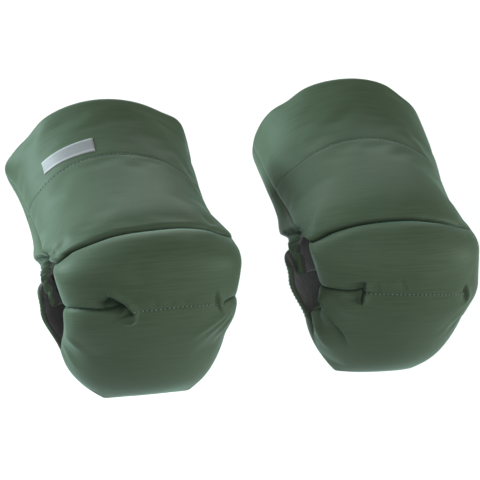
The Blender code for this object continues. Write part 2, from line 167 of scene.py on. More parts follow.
def sized_stations(drapes):
    """A muff's stations in metres: the pattern's, let out by its drapes."""
    table = np.array(STATION_SHARES)
    shares, values = table[:, 0], table[:, [1, 2, 3, 4, 5, 6, 7, 7]]
    rise = np.where(values > 0, MOUTH_RISE, FOLD_DROP)
    values[:, [0, 2, 4]] *= MOUTH_REACH
    values[:, [1, 3, 5]] *= rise[:, [1, 3, 5]]
    values[:, 6:] *= MOUTH_WIDTH / 2
    values = np.hstack([values, np.zeros((len(shares), 1))])
    for drape in drapes:
        crest = np.exp(-(((shares - drape.place) / drape.reach) ** 2))
        values[:, SECTION_LINES.index(drape.line)] += drape.size * crest
    return shares, values, cubic_bends(shares, values)


STATIONS = {name: sized_stations(drapes) for name, drapes in DRAPES.items()}


def station(muff, share):
    """The side view's values at shares of the line, an array of any shape."""
    return cubic(*STATIONS[muff.name], share)


def ramp(value, low, high):
    """Rises smoothly from 0 at low to 1 at high."""
    share = np.clip((value - low) / (high - low), 0.0, 1.0)
    return share * share * (3 - 2 * share)


def gape(share):
    """How far the side slit stands open: 0 at its tacks, 1 in its middle."""
    along = (share - LOWER_TACK_SHARE) / (UPPER_TACK_SHARE - LOWER_TACK_SHARE)
    opened, closing = GAPE_SHARES
    return ramp(along, 0.0, opened) * (1 - ramp(along, closing, 1.0))


def hold(share):
    """How far the slit's edges are kept from turning with the muff."""
    low, top = HOLD_SHARES
    return ramp(share, low, LOWER_TACK_SHARE) * (1 - ramp(share, UPPER_TACK_SHARE, top))


def section(muff, share):
    """Front, seam and back ends, left and right half widths, back's bulge and shift."""
    values = station(muff, share)
    sink = muff.fold_sink * (1 - ramp(share, 0, LOWER_TACK_SHARE))
    for column in (1, 3, 5):
        values[..., column] -= sink
    low, top = station(muff, np.array([LOWER_TACK_SHARE, FLAP_TOP_SHARE]))
    along = (share - LOWER_TACK_SHARE) / (FLAP_TOP_SHARE - LOWER_TACK_SHARE)
    straight = low[4:6] + (top - low)[4:6] * along[..., None]
    flap = ((along > 0) & (along < 1))[..., None]
    front, seam = values[..., 0:2].copy(), values[..., 2:4]
    back = np.where(flap, straight, values[..., 4:6])
    lifted, reach = LIFT_SHARES
    front[..., 1] += muff.lift * np.exp(-(((share - lifted) / reach) ** 2))
    across = back - front
    across /= np.linalg.norm(across, axis=-1, keepdims=True)
    half_gap = across * (PASSAGE_HALF * gape(share) + SEAM_GAP / 2)[..., None]
    shift = muff.fold_shift * np.maximum(1 - share / FOLD_SHIFT_SHARE, 0) ** 1.5
    shift = shift + muff.mouth_shift * np.maximum(share - CREASE_SHARE, 0) / (1 - CREASE_SHARE)
    return front, seam - half_gap, seam + half_gap, back, values[..., 6:], shift


def placed(muff, share, x, edge, middle):
    """Points at x from the muff's centre, turned with the muff but where the slit is held."""
    y = middle[..., 0] + math.tan(muff.turn) * x * (1 - hold(share) * edge)
    return np.stack([muff.centre + x, y, middle[..., 1]], axis=-1)


def reach_to(end, seam, depth):
    """The way from the seam to a section's end, shortened by a depth."""
    reach = end - seam
    length = np.linalg.norm(reach, axis=-1, keepdims=True)
    return reach * np.maximum(length - depth[..., None], 0.0) / length


def front_surface(muff, share, across, depth=0.0):
    """Points of the front at a depth, for arrays of shares of one shape."""
    depth = np.zeros(share.shape) + depth
    front, seam, _, _, widths, shift = section(muff, share)
    sine, cosine = np.sin(across * math.pi / 2), np.cos(across * math.pi / 2)
    half = np.where(across < 0, widths[..., 0], widths[..., 1])
    x = (half - depth) * sine + CHEEK * gape(share) * 2 * sine * cosine + shift
    middle = seam + reach_to(front, seam, depth) * cosine[..., None]
    return placed(muff, share, x, sine**2, middle)


def back_surface(muff, share, across, depth=0.0):
    """Points of the back, which is flat in its middle half."""
    depth = np.zeros(share.shape) + depth
    _, _, seam, back, widths, shift = section(muff, share)
    half = np.where(across < 0, widths[..., 0], widths[..., 1])
    outer = np.clip((np.abs(across) - FLAT_BACK_SHARE) / (1 - FLAT_BACK_SHARE), 0, 1)
    sine, cosine = np.sin(outer * math.pi / 2), np.cos(outer * math.pi / 2)
    flat = FLAT_BACK_SHARE * half
    round_x = flat + (half - depth - flat) * sine + widths[..., 2] * 2 * sine * cosine
    round_x = round_x + np.where(across < 0, muff.slit_flare, 0) * gape(share) * sine**2
    round_x = np.sign(across) * round_x
    x = np.where(outer > 0, round_x, flat * across / FLAT_BACK_SHARE) + shift
    middle = seam + reach_to(back, seam, depth) * cosine[..., None]
    return placed(muff, share, x, sine**2, middle)


def flap_surface(muff, share, across, depth=0.0):
    """The back's line up to the flap's top, with the flap's rounded corners."""
    height = 1 - FLAP_CORNER_SHARE * np.abs(across) ** 4
    lowered = LOWER_TACK_SHARE + (share - LOWER_TACK_SHARE) * height
    lowered = np.where(share > LOWER_TACK_SHARE, lowered, share)
    return back_surface(muff, lowered, across, depth)


def lean(muff):
    """How much of a depth below the flap lies along its normal, at the press studs."""
    shares, middle = np.array((LOWER_TACK_SHARE, FLAP_TOP_SHARE, STUD_SHARE)), np.zeros(3)
    low, high, outer = back_surface(muff, shares, middle)
    inner = back_surface(muff, shares, middle, WALL)[2]
    normal = np.cross((math.cos(muff.turn), math.sin(muff.turn), 0.0), high - low)
    way = (outer - inner) / np.linalg.norm(outer - inner)
    return abs(way @ normal) / np.linalg.norm(normal)


def wall(share):
    """The padded wall's thickness, thinner at the bottom fold."""
    return HEM_WALL + (WALL - HEM_WALL) * ramp(share, 0.0, HEM_SHARE)


def under_flap(share):
    """1 where the flap lies over the back, 0 above it."""
    return 1 - ramp(share, FLAP_TOP_SHARE, UPPER_TACK_SHARE)


# Sheets of padded cloth


def spaced(count, low, high, places):
    """Places from low to high, closer together around some: (place, reach, how much)."""
    t = np.linspace(low, high, 4000)
    crowd = 1 + sum(much * np.exp(-(((t - place) / reach) ** 2)) for place, reach, much in places)
    total = np.concatenate([[0.0], np.cumsum(crowd[1:] + crowd[:-1])])
    return np.interp(np.linspace(0, total[-1], count), total, t)


class Sheet:
    """A padded sheet on a grid of shares: its base points, outward normals and lengths."""

    def __init__(self, muff, surface, rows, columns, facing):
        self.muff, self.surface, self.facing = muff, surface, facing
        self.rows, self.columns = rows, columns
        self.share, self.across = np.meshgrid(rows, columns, indexing="ij")
        self.points = surface(muff, self.share, self.across)
        self.normals = self.normals_of(self.points)
        self.height = np.zeros(self.share.shape)
        self.inner_height = np.zeros(self.share.shape)
        # Painted shade: how far the cloth's colour is darkened in creases, hollows and at tacks, where
        # shade falls
        self.pressed = np.zeros(self.share.shape)
        self.shift = np.zeros(self.points.shape)
        self.puff = np.zeros(self.points.shape)
        self.outer = self.points
        steps = np.linalg.norm(np.diff(self.points, axis=1), axis=-1)
        self.width = np.concatenate([np.zeros((len(rows), 1)), np.cumsum(steps, axis=1)], axis=1)
        steps = np.linalg.norm(np.diff(self.points, axis=0), axis=-1)
        self.length = np.concatenate(
            [np.zeros((1, len(columns))), np.cumsum(steps, axis=0)], axis=0
        )

    def normals_of(self, points):
        normals = np.cross(np.gradient(points, axis=1), np.gradient(points, axis=0))
        normals *= self.facing
        return normals / (np.linalg.norm(normals, axis=-1, keepdims=True) + 1e-12)

    def from_side(self):
        """Distance of each point from the nearer side edge, along its row."""
        return np.minimum(self.width, self.width[:, -1:] - self.width)

    def from_low(self):
        return self.length

    def from_top(self):
        return self.length[-1:] - self.length

    def line(self, path, step=0.0015):
        """Points, tangents and sideways directions along a path of (share, across) places."""
        path = np.array(path, float)
        knots = np.arange(len(path))
        bends = cubic_bends(knots, path) if len(path) > 2 else np.zeros(path.shape)
        fine = cubic(knots, path, bends, np.linspace(0, len(path) - 1, 24 * (len(path) - 1) + 1))
        share = np.clip(fine[:, 0], self.rows[0], self.rows[-1])
        across = np.clip(fine[:, 1], -1, 1)
        points = self.surface(self.muff, share, across)
        run = np.concatenate([[0], np.cumsum(np.linalg.norm(np.diff(points, axis=0), axis=-1))])
        even = np.linspace(0, run[-1], max(int(run[-1] / step), 4))
        share, across = np.interp(even, run, share), np.interp(even, run, across)
        points = self.surface(self.muff, share, across)
        tangents = np.gradient(points, axis=0)
        tangents /= np.linalg.norm(tangents, axis=-1, keepdims=True) + 1e-12
        normals = self.sampled(self.normals, share, across)
        return points, tangents, np.cross(normals, tangents), share, across

    def sampled(self, grid, share, across):
        """A grid's values at places between its rows and columns."""
        i = np.clip(np.searchsorted(self.rows, share) - 1, 0, len(self.rows) - 2)
        j = np.clip(np.searchsorted(self.columns, across) - 1, 0, len(self.columns) - 2)
        u = ((share - self.rows[i]) / (self.rows[i + 1] - self.rows[i]))[..., None]
        v = ((across - self.columns[j]) / (self.columns[j + 1] - self.columns[j]))[..., None]
        low = grid[i, j] * (1 - v) + grid[i, j + 1] * v
        high = grid[i + 1, j] * (1 - v) + grid[i + 1, j + 1] * v
        return low * (1 - u) + high * u

    def near(self, path, reach):
        """For the points within reach of a path: their places, sideways distance and run."""
        line, tangents, sides, _, _ = self.line(path)
        flat = self.points.reshape(-1, 3)
        low, high = line.min(axis=0) - reach, line.max(axis=0) + reach
        chosen = np.flatnonzero(((flat > low) & (flat < high)).all(axis=1))
        points = flat[chosen]
        gaps = ((points[:, None] - line[None]) ** 2).sum(axis=-1)
        nearest = gaps.argmin(axis=1)
        away = points - line[nearest]
        sideways = (away * sides[nearest]).sum(axis=1)
        ahead = (away * tangents[nearest]).sum(axis=1)
        past = np.where((nearest == 0) | (nearest == len(line) - 1), ahead, 0.0)
        run = nearest / (len(line) - 1)
        close = np.hypot(sideways, past) < reach
        return chosen[close], sideways[close], past[close], run[close]

    def carve(self, fold, inner=0.0):
        """Adds a fold's height along its path, and painted shade that darkens the cloth in it."""
        profile, reach = PROFILES[fold.kind](*fold.sizes)
        chosen, sideways, past, run = self.near(fold.path, reach)
        kept = np.exp(-((past / (reach * 0.25)) ** 2))
        for share, place in zip((fold.start, fold.end), (run, 1 - run)):
            if share:
                kept = kept * ramp(place, 0.0, share)
        height = profile(sideways) * kept
        self.height.reshape(-1)[chosen] += height
        self.inner_height.reshape(-1)[chosen] += height * inner
        strength, width, aside = fold.pressed
        pressed = strength * np.exp(-(((sideways + aside) / width) ** 2)) * np.sqrt(kept)
        flat = self.pressed.reshape(-1)
        flat[chosen] = np.maximum(flat[chosen], pressed)

    def tug(self, share, across, way, reach):
        """Pulls the cloth some way at one place of the front."""
        centre = front_surface(self.muff, np.array([share]), np.array([across]))[0]
        distance = ((self.points - centre) ** 2).sum(axis=-1)
        self.shift += np.exp(-distance / reach**2)[..., None] * np.array(way)

    def press(self, share, across, reach, strength):
        """Paints shade round one place, darkening the cloth where a tack pinches it."""
        centre = self.surface(self.muff, np.array([share]), np.array([across]))[0]
        distance = ((self.points - centre) ** 2).sum(axis=-1)
        self.pressed = np.maximum(self.pressed, strength * np.exp(-distance / reach**2))

    def gather(self, low, high, depth, pitch, reach):
        """Puckers that an elastic draws into both side edges between two shares."""
        along = (self.share - low) / (high - low)
        kept = ramp(along, 0.0, 0.2) * (1 - ramp(along, 0.6, 1.0))
        turn = 2 * math.pi * (self.length + 1.5 * self.from_side()) / pitch
        turn = turn + 0.9 * np.sin(turn / 2.7) + np.where(self.across > 0, 1.3, 0.0)
        puckers = depth * np.cos(turn) * np.exp(-((self.from_side() / reach) ** 1.5)) * kept
        self.height += puckers
        self.inner_height += 0.7 * puckers

    def seam(self, path, lift=0.0001):
        """The points of a stitch line that lies on the finished cloth."""
        _, _, _, share, across = self.line(path, 0.001)
        normals = self.sampled(self.normals_of(self.outer), share, across)
        return self.sampled(self.outer, share, across) + lift * normals


def resized(grid, old_rows, old_columns, rows, columns):
    """A grid's values on other rows and columns."""
    for knots, places in ((old_rows, rows), (old_columns, columns)):
        flat = grid.reshape(len(knots), -1)
        flat = cubic(knots, flat, cubic_bends(knots, flat), places)
        grid = flat.reshape(len(places), *grid.shape[1:]).swapaxes(0, 1)
    return grid


def blurred(grid, *reaches):
    """A grid smoothed over a reach in rows and one in columns."""
    for axis, reach in enumerate(reaches):
        half = int(3 * reach)
        weights = np.exp(-((np.arange(-half, half + 1) / reach) ** 2) / 2)
        padded = np.pad(grid, [(half, half) if k == axis else (0, 0) for k in range(3)], "edge")
        count = grid.shape[axis]
        grid = sum(
            weight * padded.take(range(k, k + count), axis)
            for k, weight in enumerate(weights / weights.sum())
        )
    return grid


# How the padding puffs the cloth: rows and columns of the simulated sheet, pressure, spare
# cloth, how far a point may move, how near a seam it is held, the narrowest and broadest
# folds that are kept, the share of them, how far in from the edge they fade, and the frames
PUFF_ROWS, PUFF_COLUMNS = 111, 71
PUFF_PRESSURE = 4.0
SPARE_CLOTH = 0.007
PUFF_LIMIT = 0.008
SEAM_HOLD = 0.0028
FINE_FOLD, BROAD_FOLD = 0.0032, 0.020
KEPT_SHARE = 0.65
PUFF_FADE = 0.012
PUFF_FRAMES = 20


def puffed(sheet, seams):
    """Swells a sheet's cloth between its seams by simulation, and keeps the folds it makes."""
    rows = np.linspace(sheet.rows[0], sheet.rows[-1], PUFF_ROWS)
    columns = np.linspace(-1, 1, PUFF_COLUMNS)
    loose = Sheet(sheet.muff, sheet.surface, rows, columns, sheet.facing)
    held = border_of(loose.share.shape)
    held[[1, -2]] = True
    for path in seams:
        held.reshape(-1)[loose.near(path, SEAM_HOLD)[0]] = True
    index = np.arange(held.size).reshape(held.shape)
    quads = quads_of(index)[:, :: sheet.facing]
    mesh = bpy.data.meshes.new("loose_cloth")
    mesh.from_pydata(loose.points.reshape(-1, 3).tolist(), [], quads.tolist())
    cloth = bpy.data.objects.new("loose_cloth", mesh)
    bpy.context.scene.collection.objects.link(cloth)
    pins = cloth.vertex_groups.new(name="held")
    pins.add(np.flatnonzero(held.ravel()).tolist(), 1.0, "REPLACE")
    modifier = cloth.modifiers.new("padding", "CLOTH")
    settings = modifier.settings
    settings.quality = 5
    settings.mass = 0.15
    settings.tension_stiffness = settings.compression_stiffness = 20
    settings.shear_stiffness = 8
    settings.bending_stiffness = 2.0
    settings.vertex_group_mass = "held"
    settings.use_pressure = True
    settings.uniform_pressure_force = PUFF_PRESSURE
    settings.shrink_min = -SPARE_CLOTH
    settings.effector_weights.gravity = 0
    modifier.collision_settings.use_collision = False
    modifier.collision_settings.use_self_collision = False
    for frame in range(1, PUFF_FRAMES + 1):
        bpy.context.scene.frame_set(frame)
    evaluated = cloth.evaluated_get(bpy.context.evaluated_depsgraph_get())
    places = np.zeros(3 * held.size, np.float32)
    evaluated.data.vertices.foreach_get("co", places)
    moved = places.reshape(loose.points.shape) - loose.points
    bpy.data.objects.remove(cloth)
    bpy.context.scene.frame_set(1)
    far = np.linalg.norm(moved, axis=-1, keepdims=True)
    moved *= np.minimum(1, PUFF_LIMIT / np.maximum(far, 1e-9))
    cell = np.array((
        loose.length[-1].mean() / (PUFF_ROWS - 1), loose.width[:, -1].mean() / (PUFF_COLUMNS - 1)
    ))
    moved = blurred(moved, *(FINE_FOLD / cell)) - blurred(moved, *(BROAD_FOLD / cell))
    moved *= KEPT_SHARE
    edge = np.minimum(loose.from_side(), np.minimum(loose.from_low(), loose.from_top()))
    moved *= ramp(edge, 0.0, PUFF_FADE)[..., None]
    sheet.puff = resized(moved, rows, columns, sheet.rows, sheet.columns)


def dipped(distance, reach, depth):
    """How far a rounded edge falls below the surface, at a distance from the edge."""
    t = np.clip(1 - distance / np.maximum(reach, 1e-6), 0.0, 1.0)
    return depth * (1 - np.sqrt(np.maximum(1 - t * t, 0.0)))


def quads_of(grid):
    """The corner numbers of each cell of a grid, one cell a row."""
    return np.stack([grid[:-1, :-1], grid[:-1, 1:], grid[1:, 1:], grid[1:, :-1]], -1).reshape(-1, 4)


def border_of(shape):
    """Which places of a grid lie on its edge."""
    border = np.zeros(shape, bool)
    border[[0, -1]] = True
    border[:, [0, -1]] = True
    return border


def rim_of(grid):
    """The numbers round the edge of a grid, in order, each once."""
    return np.concatenate([grid[0, :-1], grid[:-1, -1], grid[-1, :0:-1], grid[:0:-1, 0]])


def cover(name, sheet, outer_depth, inner_depth, materials):
    """A closed padded piece between a sheet's outer and inner depths, welded where they meet.

    The lining takes every second row and column, so both counts are odd.
    """
    rows, columns = sheet.share.shape
    args = sheet.muff, sheet.share, sheet.across
    outer = sheet.surface(*args, outer_depth) + sheet.normals * sheet.height[..., None]
    outer += sheet.shift + sheet.puff
    sheet.outer = outer
    inner = sheet.surface(*args, inner_depth) + sheet.normals * sheet.inner_height[..., None]
    inner += sheet.shift
    meet = border_of((rows, columns)) & (inner_depth - outer_depth < WELD)
    index = np.arange(rows * columns).reshape(rows, columns)
    below = np.where(meet, index, index + rows * columns)[::2, ::2]
    ring = rim_of(index)
    under = rim_of(below)
    near, between, far = ring[::2], ring[1::2], np.roll(ring[::2], -1)
    ahead = np.roll(under, -1)
    groups = [
        quads_of(index),
        quads_of(below)[:, [0, 3, 2, 1]],
        np.stack([near, under, between], -1),
        np.stack([under, ahead, between], -1),
        np.stack([ahead, far, between], -1),
    ]
    faces, linings = [], []
    for kind, group in enumerate(groups):
        for face in group[:, :: sheet.facing].tolist():
            kept = [v for k, v in enumerate(face) if v != face[k - 1]]
            if len(set(kept)) == len(kept) > 2:
                faces.append(kept)
                linings.append(int(kind > 0))
    used = np.zeros(2 * rows * columns, bool)
    used[: rows * columns] = True
    used[below.ravel()] = True
    number = np.cumsum(used) - 1
    points = np.concatenate([outer.reshape(-1, 3), inner.reshape(-1, 3)])[used]
    mesh = bpy.data.meshes.new(name)
    mesh.from_pydata(points.tolist(), [], [[int(number[v]) for v in face] for face in faces])
    middle = sheet.width[:, -1:] / 2
    run = sheet.length[:, columns // 2][:, None] + 0 * sheet.width
    cloth = np.stack([sheet.width - middle, run], -1).reshape(-1, 2)
    add_cloth_map(mesh, np.concatenate([cloth, cloth])[used])
    # The painted shade goes to the mesh as a point attribute; the lining gets none
    pressed = np.concatenate([sheet.pressed.ravel(), 0 * sheet.pressed.ravel()])[used]
    layer = mesh.attributes.new("pressed", "FLOAT", "POINT")
    layer.data.foreach_set("value", pressed.astype(np.float32))
    for material in materials:
        mesh.materials.append(material)
    mesh.polygons.foreach_set("material_index", np.array(linings, np.int32))
    return add_piece(name, mesh)


def add_cloth_map(mesh, cloth):
    """The cloth's own UV map, in metres along and across the piece."""
    corners = np.zeros(len(mesh.loops), np.int32)
    mesh.loops.foreach_get("vertex_index", corners)
    uv = mesh.uv_layers.new(name="cloth")
    uv.data.foreach_set("uv", cloth[corners].astype(np.float32).ravel())


def add_piece(name, mesh):
    mesh.shade_smooth()
    mesh.update()
    piece = bpy.data.objects.new(name, mesh)
    bpy.context.scene.collection.objects.link(piece)
    return piece


# Cloth, lining, thread and metal


def new_material(name, colour, roughness, metallic=0.0):
    material = bpy.data.materials.new(name)
    material.use_nodes = True
    shader = material.node_tree.nodes["Principled BSDF"]
    set_inputs(shader, {
        "Base Color": (*colour, 1.0), "Roughness": roughness, "Metallic": metallic
    })
    return material, shader


def set_inputs(node, values):
    for name, value in values.items():
        node.inputs[name].default_value = value


def add_node(material, kind, **settings):
    node = material.node_tree.nodes.new(kind)
    for key, value in settings.items():
        if key in node.inputs:
            node.inputs[key].default_value = value
        else:
            setattr(node, key, value)
    return node


def link(material, out, into):
    material.node_tree.links.new(out, into)


def noise(material, coordinates, scale, detail, stretch=(1, 1, 1)):
    mapping = add_node(material, "ShaderNodeMapping")
    mapping.inputs["Scale"].default_value = stretch
    link(material, coordinates, mapping.inputs["Vector"])
    texture = add_node(material, "ShaderNodeTexNoise", Scale=scale, Detail=detail)
    link(material, mapping.outputs["Vector"], texture.inputs["Vector"])
    return texture.outputs["Fac"]


def blended(material, kind, share, first, second):
    mix = add_node(material, "ShaderNodeMix", data_type="RGBA", blend_type=kind)
    for socket, value in ((mix.inputs[0], share), (mix.inputs[6], first), (mix.inputs[7], second)):
        if isinstance(value, bpy.types.NodeSocket):
            link(material, value, socket)
        else:
            socket.default_value = value
    return mix.outputs[2]


def remapped(material, value, low, high, new_low, new_high):
    node = add_node(material, "ShaderNodeMapRange")
    for key, number in zip(
        ("From Min", "From Max", "To Min", "To Max"), (low, high, new_low, new_high)
    ):
        node.inputs[key].default_value = number
    link(material, value, node.inputs["Value"])
    return node.outputs["Result"]


def toned(material, value, low, high, first, second):
    """A colour that goes from the first to the second as a value goes from low to high."""
    share = remapped(material, value, low, high, 0, 1)
    return blended(material, "MIX", share, (*first, 1), (*second, 1))


def bumped(material, shader, layers):
    """A chain of bumps: (height, strength, distance) from coarse to fine."""
    before = None
    for height, strength, distance in layers:
        bump = add_node(material, "ShaderNodeBump", Strength=strength, Distance=distance)
        link(material, height, bump.inputs["Height"])
        if before is not None:
            link(material, before, bump.inputs["Normal"])
        before = bump.outputs["Normal"]
    link(material, before, shader.inputs["Normal"])


def weave(material, cloth, pitch):
    """Height of a plain weave: two crossing bands of threads."""
    heights = []
    for direction in ("X", "Y"):
        band = add_node(
            material, "ShaderNodeTexWave", wave_type="BANDS", bands_direction=direction,
            wave_profile="SIN", Scale=0.314 / pitch, Distortion=0.6, Detail=1.0,
        )
        band.inputs["Detail Scale"].default_value = 2.0
        link(material, cloth, band.inputs["Vector"])
        heights.append(band.outputs["Fac"])
    both = add_node(material, "ShaderNodeMath", operation="MULTIPLY")
    link(material, heights[0], both.inputs[0])
    link(material, heights[1], both.inputs[1])
    return both.outputs["Value"]


def shell_cloth():
    """Dark green polyester: fine horizontal streaks, soft sheen, painted shade in creases and at
    tacks.
    """
    material, shader = new_material("muff_shell_cloth", (0.045, 0.075, 0.048), 0.56)
    cloth = add_node(material, "ShaderNodeUVMap", uv_map="cloth").outputs["UV"]
    place = add_node(material, "ShaderNodeTexCoord").outputs["Object"]
    streaks = noise(material, cloth, 1.0, 4.0, (26, 620, 1))
    patches = noise(material, place, 9.0, 3.0)
    colour = toned(material, patches, 0.3, 0.7, (0.033, 0.048, 0.029), (0.040, 0.056, 0.035))
    streak = toned(material, streaks, 0.36, 0.64, (0.90, 0.91, 0.90), (1.10, 1.09, 1.10))
    colour = blended(material, "MULTIPLY", 1.0, colour, streak)
    # Painted shade: the colour goes towards near black where the attribute marks creases, hollows and
    # tacks
    pressed = add_node(material, "ShaderNodeAttribute", attribute_name="pressed").outputs["Fac"]
    colour = blended(material, "MIX", pressed, colour, (0.006, 0.010, 0.007, 1))
    link(material, colour, shader.inputs["Base Color"])
    link(material, remapped(material, streaks, 0.3, 0.7, 0.52, 0.60), shader.inputs["Roughness"])
    set_inputs(shader, {
        "Specular IOR Level": 0.12, "Specular Tint": (0.7, 1.0, 0.85, 1), "Sheen Weight": 0.12,
        "Sheen Roughness": 0.35, "Sheen Tint": (0.50, 1.0, 0.78, 1),
    })
    crumple = noise(material, place, 55.0, 4.0)
    threads = weave(material, cloth, 0.00055)
    layers = (crumple, 0.10, 0.0012), (streaks, 0.08, 0.0002), (threads, 0.18, 0.00012)
    bumped(material, shader, layers)
    return material


def fleece():
    """Dark pile with fine tufts in soft clumps."""
    material, shader = new_material("muff_fleece", (0.020, 0.021, 0.021), 0.95)
    place = add_node(material, "ShaderNodeTexCoord").outputs["Object"]
    tufts = noise(material, place, 900.0, 5.0)
    clumps = noise(material, place, 190.0, 3.0)
    colour = toned(material, tufts, 0.3, 0.7, (0.010, 0.011, 0.011), (0.034, 0.036, 0.035))
    link(material, colour, shader.inputs["Base Color"])
    set_inputs(shader, {
        "Sheen Weight": 0.22, "Sheen Roughness": 0.6, "Specular IOR Level": 0.2
    })
    bumped(material, shader, ((clumps, 0.5, 0.0015), (tufts, 0.7, 0.0005)))
    return material


def thread_material(name, low, high):
    material, shader = new_material(name, low, 0.5)
    place = add_node(material, "ShaderNodeTexCoord").outputs["Object"]
    twist = noise(material, place, 2500.0, 2.0)
    colour = toned(material, twist, 0.35, 0.65, low, high)
    link(material, colour, shader.inputs["Base Color"])
    set_inputs(shader, {"Sheen Weight": 0.2})
    bumped(material, shader, ((twist, 0.4, 0.0001),))
    return material


def stud_metal():
    """Dark nickel, duller where it is worn."""
    material, shader = new_material("muff_stud_metal", (0.10, 0.10, 0.11), 0.34, 1.0)
    place = add_node(material, "ShaderNodeTexCoord").outputs["Object"]
    grain = noise(material, place, 1600.0, 3.0)
    worn = noise(material, place, 260.0, 3.0)
    link(material, remapped(material, worn, 0.3, 0.7, 0.26, 0.46), shader.inputs["Roughness"])
    colour = toned(material, worn, 0.4, 0.75, (0.085, 0.085, 0.095), (0.19, 0.185, 0.18))
    link(material, colour, shader.inputs["Base Color"])
    bumped(material, shader, ((grain, 0.15, 0.0001),))
    return material


def label_weave():
    """Grey damask label with lighter woven long edges."""
    material, shader = new_material("muff_label_weave", (0.11, 0.115, 0.12), 0.6)
    cloth = add_node(material, "ShaderNodeUVMap", uv_map="cloth").outputs["UV"]
    ribs = noise(material, cloth, 1.0, 3.0, (300, 3200, 1))
    fine = noise(material, cloth, 1.0, 2.0, (2500, 2500, 1))
    split = add_node(material, "ShaderNodeSeparateXYZ")
    link(material, cloth, split.inputs["Vector"])
    off = add_node(material, "ShaderNodeMath", operation="ABSOLUTE")
    link(material, split.outputs["Y"], off.inputs[0])
    border = remapped(material, off.outputs["Value"], 0.0058, 0.0062, 0.0, 1.0)
    ground = toned(material, ribs, 0.3, 0.7, (0.070, 0.072, 0.077), (0.100, 0.102, 0.107))
    colour = blended(material, "MIX", border, ground, (0.155, 0.158, 0.162, 1))
    link(material, colour, shader.inputs["Base Color"])
    set_inputs(shader, {"Sheen Weight": 0.25})
    bumped(material, shader, ((ribs, 0.4, 0.0002), (fine, 0.3, 0.0001)))
    return material


# The sewn lines and folds of each muff, as (share along, share across) places


# A fold's kind, its path, its sizes in metres, the shares of it that fade in and out, and the
# painted shade that darkens its cloth: strength, width, and how far to the right of the path.
# Sizes: sewn is depth and reach below and above it; tucked is the same, then how far the
# cloth above sinks and over what slope; ledge is depth, reach of its hollow and height of
# its lip, with the hollow on the right as one looks along the path; ridge and dent are
# height or depth and width.
Fold = namedtuple("Fold", "kind path sizes start end pressed", defaults=((0.0, 0.001, 0.0),))

# What both muffs share: the sizes of their sewn lines, and the painted shade in their creases
WRIST_SIZES = (0.0009, 0.006, 0.005)
CREASE_SIZES = (0.0100, 0.017, 0.0055, 0.0027, 0.017)
TUCK_SIZES = (0.0052, 0.008, 0.006, 0.0014, 0.010)
CAP_LINE_SIZES = (0.0010, 0.005, 0.005)
PUCKER_SIZES = (0.0012, 0.006, 0.0002)
CREASE_PAINTED_SHADE = (0.92, 0.0013, 0.0)
TUCK_PAINTED_SHADE = (0.92, 0.0011, 0.0)
CAP_LINE_PAINTED_SHADE = (0.35, 0.0009, 0.0)

